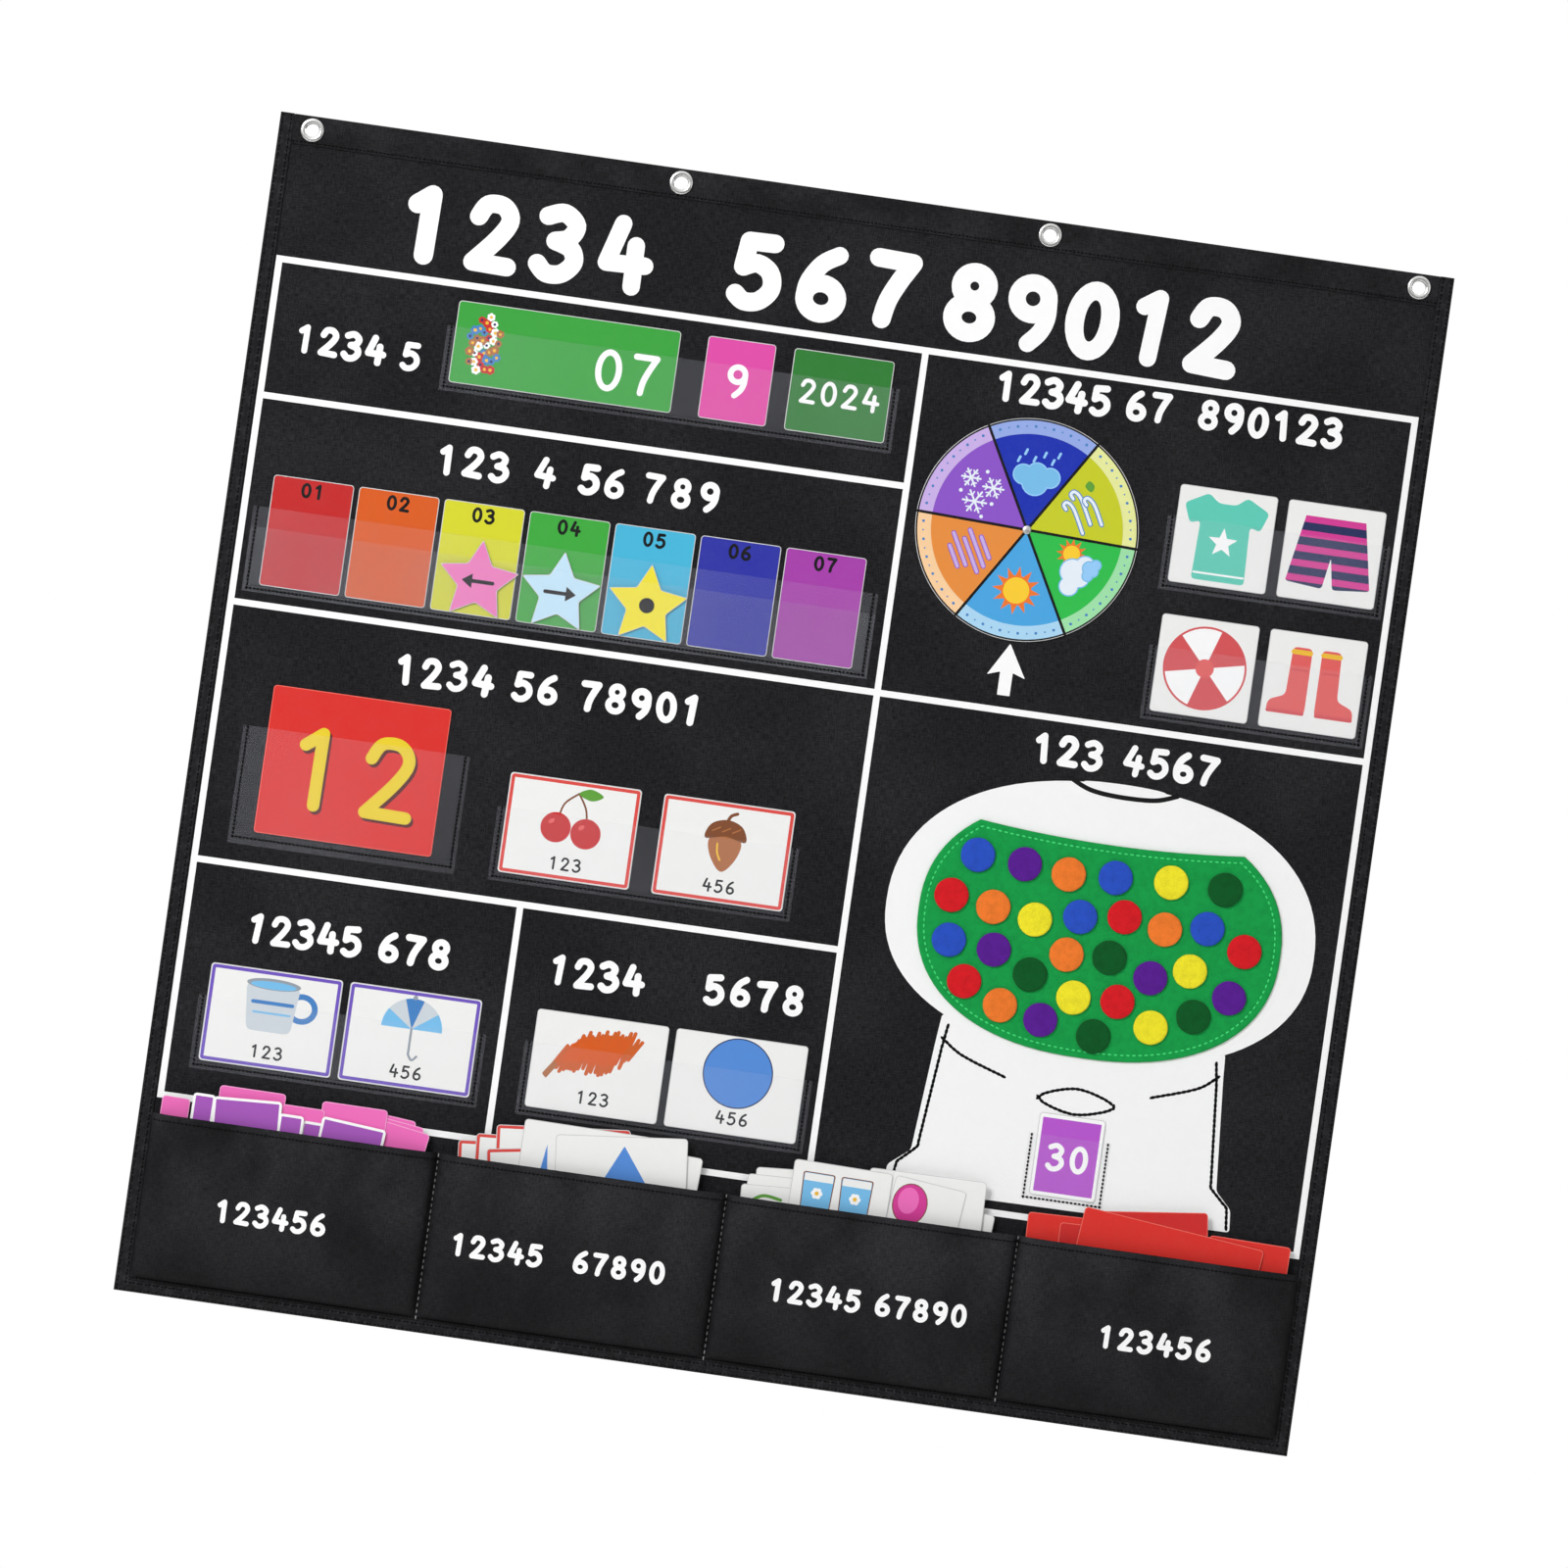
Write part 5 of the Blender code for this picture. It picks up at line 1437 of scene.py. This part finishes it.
# insets from the edge, and the share of the full thickness there
feltEdge = ((0.0, 0.62), (0.5, 0.92), (1.3, 1.0), (3.4, 0.97), (felt["stitch"], felt["groove"]), (5.8, 0.97),
            (8.0, 1.0))


def feltLoop(inset, steps=72, topSteps=20):
    # round the foot from the right end of the top, then back along the top, which dips
    half, low, top, power = felt["half"] - inset, felt["low"] - inset, felt["top"] - inset, felt["power"]
    start = math.asin((top / low) ** (power / 2))
    loop = [superPoint(start - (math.pi + 2 * start) * step / steps, half, low, power)
            for step in range(steps + 1)]
    corner = -loop[-1][0]
    for step in range(1, topSteps):
        share = 2 * step / topSteps - 1
        loop.append((corner * share, top - felt["dip"] * (1 - share * share)))
    return loop


def onFelt(point, y):
    return felt["x"] + point[0] * mm, y, feltMiddle + point[1] * mm


def makeFeltBoard():
    shapes, heights = [], {}
    for inset, height in feltEdge:
        loop = feltLoop(inset)
        shapes += fill("feltGreen", loop)
        heights.update({(round(x, 3), round(y, 3)): height for x, y in loop})

    def frontAt(point):
        height = heights.get((round(point[0], 3), round(point[1], 3)), 1.0)
        fuzz = felt["fuzz"] * noise.noise(Vector((point[0] / 3, point[1] / 3, 0.5)))
        return onFelt(point, feltHigh.y - felt["thickness"] * (height + fuzz))

    plate = plateFaces(paintSheet(shapes, net(shapes[-1:], felt["net"]), True), frontAt,
                       lambda p: onFelt(p, feltHigh.y))
    made = newPiece("feltBoard", plate, finishes["felt"], "green_felt", smoothAngle=60)
    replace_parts(made, "counting_felt")


makeFeltBoard()

counter = {"radius": 0.0115, "thickness": 0.0020, "steps": 48, "gap": 0.0001}
looseCounters = ("blue", "purple", "orange", "blue", "yellow", "green", "red", "orange", "yellow", "blue")
# ink, then the place as shares of the felt's half width and of its height
restingCounters = (
    ("red", 0.124, 0.345), ("orange", 0.352, 0.375), ("blue", 0.582, 0.345), ("red", 0.800, 0.424),
    ("blue", -0.811, 0.556), ("purple", -0.560, 0.572), ("green", -0.345, 0.660), ("orange", -0.162, 0.548),
    ("green", 0.073, 0.535), ("purple", 0.310, 0.600), ("yellow", 0.520, 0.545), ("red", -0.697, 0.731),
    ("orange", -0.484, 0.815), ("purple", -0.254, 0.855), ("yellow", -0.092, 0.735), ("red", 0.150, 0.726),
    ("green", 0.573, 0.745), ("purple", 0.752, 0.640), ("green", 0.045, 0.895), ("yellow", 0.350, 0.820),
)


def counterShape(x, z, back, ink, seed):
    # a punched felt disc: a slightly uneven edge and a soft top
    rings = ((1.0, 0.0), (1.012, 0.30), (1.0, 0.72), (0.965, 0.93), (0.90, 1.0), (0.6, 1.02), (0.3, 1.02))
    steps, points, faces = counter["steps"], [], []
    for reach, height in rings:
        for angle in turns(steps):
            wave, fine = [noise.noise(Vector((*polar(0, 0, pace, angle), seed * 1.7))) for pace in (3, 11)]
            radius = counter["radius"] * reach * (1 + 0.014 * wave + 0.006 * fine)
            lump = 0.03 * noise.noise(Vector((*polar(0, 0, radius * 300, angle), seed)))
            depth = counter["thickness"] * (height + (lump if height > 0.9 else 0.0))
            pointX, pointZ = polar(x, z, radius, angle)
            points.append((pointX, back - depth, pointZ))
    for row in range(len(rings) - 1):
        for step in range(steps):
            a, b = row * steps + step, row * steps + (step + 1) % steps
            faces.append((a, b, b + steps, a + steps))
    faces.append(tuple(reversed(range(steps))))
    middle, last = len(points), len(points) - steps
    points.append((x, back - counter["thickness"] * rings[-1][1], z))
    faces += [(last + step, last + (step + 1) % steps, middle) for step in range(steps)]
    return points, faces, [linearInk(ink)] * len(faces)


def makeCounters():
    for number, ink in enumerate(looseCounters, 1):
        node = f"counter_{number:02d}_{ink}"
        middle = middleOf(node)
        shape = counterShape(middle.x, middle.z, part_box(node)[1].y, ink, number)
        made = newPiece(f"counter{number:02d}", shape, finishes["felt"], f"counter_{ink}", node, 60)
        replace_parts(made, node)
    resting = []
    for number, (ink, shareX, shareZ) in enumerate(restingCounters, len(looseCounters) + 1):
        place = (shareX * felt["half"], felt["top"] - shareZ * (felt["top"] + felt["low"]))
        x, back, z = onFelt(place, feltHigh.y - felt["thickness"] - counter["gap"])
        resting.append(counterShape(x, z, back, ink, number))
    made = newPiece("restingCounters", joinShapes(resting), finishes["felt"], "counter_red", smoothAngle=60)
    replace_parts(made, "counting_felt")


makeCounters()
print("felt and counters are laid")

# Stored cards, back ones first: a style, left, right, top at the middle, tilt in degrees and a picture
storedLook = {"thickness": 0.00034, "gap": 0.00008, "corner": 2.6, "floor": 775.0, "frameInset": 0.5,
              "edgeDrop": 0.00006}
# ink, ink of the rim (a paler painted highlight along the edges of the red and pink cards), and the ink and
# width of a printed frame
storedStyles = {"pink": ("storedPink", "pinkEdge", None, 0),
                "purple": ("storedPurple", "white", "white", 1.3), "red": ("storedRed", "redEdge", None, 0),
                "deep": ("storedDeep", "redEdge", None, 0), "framed": ("paper", "rim", "borderRed", 2.0),
                "plain": ("paper", "rim", None, 0)}
storedCards = {
    "stored_calendar_cards": ("card_pink", (
        ("pink", 15, 34, 668, 1.0, ""), ("pink", 52.5, 97.5, 655.8, 0.3, ""),
        ("pink", 150, 187, 660.2, 5.0, ""), ("pink", 157, 193, 663.2, 7.0, ""),
        ("pink", 163, 197.5, 666.5, 9.0, ""), ("pink", 122.5, 167, 656.8, 0.3, ""),
        ("pink", 96, 125, 662.5, 0.5, ""), ("purple", 111, 137, 671.8, 1.5, ""),
        ("purple", 35.8, 51, 663, 0.5, ""), ("purple", 124, 168, 668.5, 5.0, ""),
        ("purple", 49.5, 95.8, 662.4, -3.0, ""), ("purple", 95, 112, 668.8, 0.5, ""))),
    "stored_letter_cards": ("card_white", (
        ("framed", 216.5, 236, 668.8, -5.0, ""), ("framed", 228, 259, 662.5, -4.0, ""),
        ("framed", 240.5, 331, 651.5, -5.5, ""), ("plain", 360, 381.8, 658.8, 3.0, ""),
        ("framed", 236, 262, 671, -9.0, ""), ("plain", 259.3, 345, 649.5, 0.6, "sliver"),
        ("plain", 281, 370, 652.0, -6.0, "triangle"))),
    "stored_colour_cards": ("card_white", (
        ("plain", 563, 582, 669, 4.0, ""), ("plain", 418, 447, 658.5, -4.0, ""),
        ("plain", 413, 446, 664, -2.0, ""), ("plain", 409.5, 446, 671, -3.0, "stem"),
        ("plain", 494, 573.5, 648.5, -0.7, ""), ("plain", 512, 561, 654, 6.0, "blob"),
        ("plain", 443, 510, 650.8, 1.0, "cups"))),
    "stored_counting_cards": ("card_red", (
        ("red", 603.8, 650, 663, -1.5, ""), ("red", 727, 782.5, 662.5, 1.0, ""),
        ("deep", 626, 680, 667, -1.0, ""), ("deep", 642, 724, 652.5, -7.0, ""),
        ("red", 641, 765, 661, 6.0, ""))),
}


def storedArt(kind, top):
    # pictures on the parts that stand out of the pockets, under the card's top
    shapes = []
    if kind == "sliver":
        shapes += fill("circleBlue", [(-23, top - 33), (-28, top - 33), (-25.5, top - 15)])
    elif kind == "triangle":
        shapes += fill("circleBlue", blunted([(-18, top - 40), (22, top - 40), (2, top - 6.5)], 0.8))
    elif kind == "stem":
        shapes += penLine([(-12, top - 12), (-3, top - 7), (9, top - 9)], 2.2, "leafGreen")
        shapes += spot(-4, top - 12, 4, "storedPink", 2.4)
    elif kind == "blob":
        shapes += spot(-11, top - 17, 12, "nutDark", 14) + spot(-11, top - 17, 11.3, "hotPink", 13.3)
        shapes += spot(-12.5, top - 15, 7, "storedPink", 9)
    elif kind == "cups":
        for x in (-15.5, 10.5):
            cup = [(x - 10, top - 34), (x + 10, top - 34), (x + 11, top - 7), (x - 11, top - 7)]
            inner = [(x + (a - x) * 0.93, b + (0.7 if b < top - 20 else -0.7)) for a, b in cup]
            shapes += fill("nutDark", blunted(cup, 2)) + fill("skyBlue", blunted(inner, 2))
            shapes += fill("paper", boxOf(x - 9.8, top - 13, x + 9.8, top - 8))
            shapes += flower(x, top - 21, 4, "white", "gold")
    return shapes


def storedCard(style, left, right, top, tilt, kind, back):
    ink, rimInk, frameInk, frameWidth = storedStyles[style]
    turn = math.radians(-tilt)
    wide = right - left
    tall = storedLook["floor"] - top - abs(math.sin(turn)) * wide / 2
    shapes = cardShapes(wide, tall, ink, storedLook["corner"], rimInk)
    if frameInk:
        shapes += borderShapes(wide, tall, storedLook["frameInset"], frameWidth, frameInk, ink)
    shapes += storedArt(kind, tall / 2)
    hinge = across((left + right) / 2), down(top)  # the card leans about the middle of its top
    return cardPlate(shapes, back - storedLook["thickness"], back,
                     lambda p: swung(*hinge, p[0] * mm, (p[1] - tall / 2) * mm, turn), storedLook["edgeDrop"])


for node, (slotName, stack) in storedCards.items():
    back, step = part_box(node)[1].y, storedLook["thickness"] + storedLook["gap"]
    plates = [storedCard(*card, back - number * step) for number, card in enumerate(stack)]
    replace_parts(newPiece(camelName(node), joinShapes(plates), finishes["card"], slotName, node), node)
print("stored cards are in their pockets")


# Stitching: beads of thread along a seam, which Geometry Nodes lay at an even pitch
def makeStitchTree():
    tree = bpy.data.node_groups.new("runningStitch", "GeometryNodeTree")
    face = tree.interface
    face.new_socket(name="Geometry", in_out="OUTPUT", socket_type="NodeSocketGeometry")
    face.new_socket(name="Seam", in_out="INPUT", socket_type="NodeSocketGeometry")
    for name, value in (("Pitch", 0.0026), ("Stitch Length", 0.0019), ("Thread Radius", 0.0002),
                        ("Rise", 1.0), ("Lean", 0.05)):
        face.new_socket(name=name, in_out="INPUT", socket_type="NodeSocketFloat").default_value = value
    face.new_socket(name="Seed", in_out="INPUT", socket_type="NodeSocketInt").default_value = 7
    face.new_socket(name="Thread", in_out="INPUT", socket_type="NodeSocketMaterial")
    source = addNode(tree, "NodeGroupInput").outputs
    curve = addNode(tree, "GeometryNodeMeshToCurve", (source["Seam"],)).outputs[0]
    along = addNode(tree, "GeometryNodeResampleCurve", {"Curve": curve, "Length": source["Pitch"]},
                    mode="LENGTH")
    bead = addNode(tree, "GeometryNodeMeshUVSphere", {"Segments": 6, "Rings": 5, "Radius": 1.0})
    size = addNode(tree, "ShaderNodeCombineXYZ", (
        mathNode(tree, "MULTIPLY", source["Stitch Length"], 0.5),
        mathNode(tree, "MULTIPLY", source["Thread Radius"], source["Rise"]), source["Thread Radius"]))
    stitch = addNode(tree, "GeometryNodeTransform",
                     {"Geometry": bead.outputs["Mesh"], "Scale": size.outputs[0]})
    tangent = addNode(tree, "GeometryNodeInputTangent").outputs[0]
    aim = addNode(tree, "FunctionNodeAlignRotationToVector", {"Vector": tangent}, axis="X").outputs[0]
    lean = addNode(tree, "FunctionNodeRandomValue", {"Seed": source["Seed"]}, data_type="FLOAT")
    leanRange = (mathNode(tree, "MULTIPLY", source["Lean"], -1.0), source["Lean"])
    for socket, value in zip(ofType(lean.inputs, "VALUE"), leanRange):
        feed(tree, socket, value)
    turn = addNode(tree, "ShaderNodeCombineXYZ", {"Y": ofType(lean.outputs, "VALUE")[0]}).outputs[0]
    rotation = addNode(tree, "FunctionNodeRotateRotation", {"Rotation": aim, "Rotate By": turn},
                       rotation_space="LOCAL").outputs[0]
    place = addNode(tree, "GeometryNodeInstanceOnPoints",
                    {"Points": along.outputs[0], "Instance": stitch.outputs[0], "Rotation": rotation})
    real = addNode(tree, "GeometryNodeRealizeInstances", (place.outputs[0],)).outputs[0]
    paint = addNode(tree, "GeometryNodeSetMaterial", {"Geometry": real, "Material": source["Thread"]})
    addNode(tree, "NodeGroupOutput", (paint.outputs[0],))
    return layOut(tree)


stitchTree = makeStitchTree()
stitchSockets = {item.name: item.identifier for item in stitchTree.interface.items_tree
                 if item.in_out == "INPUT"}


def sewSeams(name, seams, finish, slotName, look):
    points, edges = [], []
    for seam in seams:
        edges += [(len(points) + index, len(points) + index + 1) for index in range(len(seam) - 1)]
        points += seam
    holder = addObject(name + "Lines", newMesh(name + "Lines", points, edges, []))
    modifier = holder.modifiers.new("stitches", "NODES")
    modifier.node_group = stitchTree
    modifier[stitchSockets["Thread"]] = finish
    for socketName, value in look.items():
        modifier[stitchSockets[socketName]] = value
    bpy.context.view_layer.update()
    freeze(holder, name, slotName).data.shade_smooth()


def flatSeam(first, last, depth, step=None):
    # a straight seam between two (x, z) places, at a depth that may follow the cloth
    ends = spaced(first, last, step) if step else [Vector(first), Vector(last)]
    return [(p.x, depth(p.x, p.y) if callable(depth) else depth, p.y) for p in ends]


def roundSeam(left, right, top, foot, depth):
    # down one side, along the foot and up the other side
    corners = [(left, top), (left, foot), (right, foot), (right, top)]
    return [flatSeam(first, last, depth) for first, last in zip(corners, corners[1:])]


# how far seams stand off the cloth and in from its edges, in metres, and where a film's foot seam is sewn
sewing = {"proud": 0.00012, "film": 0.0030, "numberFilm": 0.0022, "footShare": 0.55, "filmTop": 0.001,
          "tapeTop": 0.0015, "header": 0.001, "hem": 0.0044, "storageFoot": 0.0016, "storageSide": 0.002,
          "feltProud": 0.0002, "step": 0.003, "footStep": 0.006}


def pocketSeams():
    seams = []
    for node, (footSeam, _) in filmPockets.items():
        low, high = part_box(node)
        inset = sewing["numberFilm" if node == "number_pocket" else "film"]
        seams += roundSeam(low.x + inset, high.x - inset, high.z - sewing["filmTop"],
                           low.z + footSeam * sewing["footShare"],
                           high.y - filmLook["thickness"] - sewing["proud"])
    return seams


def tapeSeams():
    seams = []
    for depth in (chartLow.y - sewing["proud"], chartHigh.y + sewing["proud"]):
        for share in stitchLines["tape"]:
            side = tape["side"] * share
            seams += roundSeam(chartLow.x + side, chartHigh.x - side, chartHigh.z - sewing["tapeTop"],
                               chartLow.z + tape["foot"] * share, depth)
    return seams


def headerSeams():
    z = headerHigh.z - (headerHigh.z - headerLow.z) * stitchLines["header"][0]
    left, right = headerLow.x + sewing["header"], headerHigh.x - sewing["header"]
    return [flatSeam((left, z), (right, z), depth)
            for depth in (headerLow.y - sewing["proud"], headerHigh.y + sewing["proud"])]


def proudOfStorage(x, z):
    return storageFront(x, z) - sewing["proud"]


def storageSeams():
    hem, foot = storageHigh.z - sewing["hem"], storageLow.z + sewing["storageFoot"]
    left, right = storageLow.x + sewing["storageSide"], storageHigh.x - sewing["storageSide"]
    return [flatSeam((left, z), (right, z), proudOfStorage, step)
            for z, step in ((hem, sewing["step"]), (foot, sewing["footStep"]))]


def dividerSeams():
    top, foot = storageHigh.z - sewing["storageSide"], storageLow.z + sewing["storageSide"]
    return [flatSeam((x, top), (x, foot), proudOfStorage, sewing["step"]) for x in dividers[1:-1]]


def backSeams():
    # the same seams as bobbin thread on the panel's back
    backY = panelHigh.y + clothLook["undulation"] + sewing["proud"]
    return [[(x, backY, z) for x, _, z in seam] for seam in pocketSeams() + storageSeams() + dividerSeams()]


def feltSeams():
    y = feltHigh.y - felt["thickness"] * felt["groove"] - sewing["feltProud"]
    seam = [onFelt(point, y) for point in feltLoop(felt["stitch"], 110, 40)]
    return [seam + seam[:1]]


blackRun = {"Pitch": 0.0027, "Stitch Length": 0.0021, "Thread Radius": 0.00050}
stitching = {
    "pocketStitches": (pocketSeams, "blackThread", {"Pitch": 0.0026, "Stitch Length": 0.0022,
                                                    "Thread Radius": 0.00072, "Rise": 0.62}),
    "tapeStitches": (tapeSeams, "blackThread", blackRun),
    "headerStitches": (headerSeams, "blackThread", blackRun),
    "storageStitches": (storageSeams, "blackThread", blackRun),
    "dividerStitches": (dividerSeams, "greyThread", {"Pitch": 0.0042, "Stitch Length": 0.0028,
                                                     "Thread Radius": 0.00042}),
    "backStitches": (backSeams, "blackThread",
                     {"Pitch": 0.0030, "Stitch Length": 0.0024, "Thread Radius": 0.0002}),
    "machineStitches": (machineSeams, "blackThread", {"Pitch": 0.0034, "Stitch Length": 0.0046,
                                                      "Thread Radius": 0.00110, "Rise": 0.07, "Lean": 0.08}),
    "feltStitches": (feltSeams, "greenThread", {"Pitch": 0.0041, "Stitch Length": 0.0030,
                                                "Thread Radius": 0.00062}),
}
for name, (makeSeams, thread, look) in stitching.items():
    slotName = "green_thread" if thread == "greenThread" else "black_thread"
    sewSeams(name, makeSeams(), finishes[thread], slotName, look)
print("the seams are sewn")


# Stage, light and camera
def makeStage():
    floor = {"level": chartLow.z - 0.75, "half": 3.2, "glow": 0.25}
    half, level = floor["half"], floor["level"]
    finish, tree = newFinish("paleFloor")
    seen = addNode(tree, "ShaderNodeLightPath").outputs["Is Camera Ray"]
    setSurface(tree, Base_Color=(0.93, 0.93, 0.93, 1), Roughness=0.9, Specular_IOR_Level=0.1,
               Emission_Color=(1, 1, 1, 1), Emission_Strength=mathNode(tree, "MULTIPLY", seen, floor["glow"]))
    corners = [(-half, -half, level), (half, -half, level), (half, half, level), (-half, half, level)]
    mesh = newMesh("paleFloor", corners, [], [(0, 1, 2, 3)])
    mesh.materials.append(finish)
    addObject("paleFloor", mesh)


def makeWorld():
    # plain white where it is seen; for gloss, bright above and to the left, dim below
    air = {"diffuse": 0.42, "gloss": (0.06, 1.0), "heights": (-0.55, 0.85), "left": 0.45}
    world = bpy.data.worlds.new("studioAir")
    world.use_nodes = True
    bpy.context.scene.world = world
    tree = world.node_tree
    sky = tree.nodes["Background"]
    sides = splitPlace(tree, "Generated")  # in a world, the direction looked in
    height = mathNode(tree, "ADD", sides["Z"], mathNode(tree, "MULTIPLY", sides["X"], -air["left"]))
    gloss = mapRange(tree, height, air["gloss"], air["heights"], interpolation_type="SMOOTHSTEP")
    rays = addNode(tree, "ShaderNodeLightPath").outputs
    seen = mathNode(tree, "MAXIMUM", rays["Is Camera Ray"], rays["Is Transmission Ray"])
    shown = {"Factor": rays["Is Glossy Ray"], "A": air["diffuse"], "B": gloss}
    strength = {"Factor": seen, "A": addNode(tree, "ShaderNodeMix", shown).outputs[0], "B": 1.0}
    feed(tree, sky.inputs["Color"], (1, 1, 1, 1))
    feed(tree, sky.inputs["Strength"], addNode(tree, "ShaderNodeMix", strength).outputs[0])
    layOut(tree)


def makeLamp(name, place, size, power):
    lamp = bpy.data.lights.new(name, "AREA")
    lamp.shape = "RECTANGLE"
    lamp.size, lamp.size_y = size
    lamp.energy = power
    made = addObject(name, lamp)
    made.location = place
    aim = Vector((0, 0, (chartLow.z + chartHigh.z) / 2)) - Vector(place)
    made.rotation_euler = aim.to_track_quat("-Z", "Y").to_euler()


def makeCamera():
    view = {"distance": 4.0, "frame": 1057.9 * mm, "roll": 8.1, "sensor": 36.0, "farEnd": 50}
    camera = bpy.data.cameras.new("photoView")
    camera.sensor_width = view["sensor"]
    camera.lens = view["sensor"] * view["distance"] / view["frame"]
    camera.clip_end = view["farEnd"]
    made = addObject("photoView", camera)
    middle = Vector(((chartLow.x + chartHigh.x) / 2, chartLow.y, (chartLow.z + chartHigh.z) / 2))
    made.location = middle + Vector((0, -view["distance"], 0))
    upright = Matrix.Rotation(math.pi / 2, 3, "X")
    rolled = Matrix.Rotation(math.radians(-view["roll"]), 3, "Y")
    made.rotation_euler = (rolled @ upright).to_euler()
    bpy.context.scene.camera = made


makeStage()
makeWorld()
lamps = {"keyPanel": ((-1.7, -2.5, 1.0), (1.2, 1.0), 64), "fillPanel": ((2.1, -2.8, 0.1), (1.6, 1.6), 8),
         "backPanel": ((1.2, 3.0, 0.9), (1.6, 1.4), 46)}  # place, size and power
for name, (place, size, power) in lamps.items():
    makeLamp(name, place, size, power)
makeCamera()
bpy.context.scene.view_settings.view_transform = "Standard"
print("stage, light and camera are set")
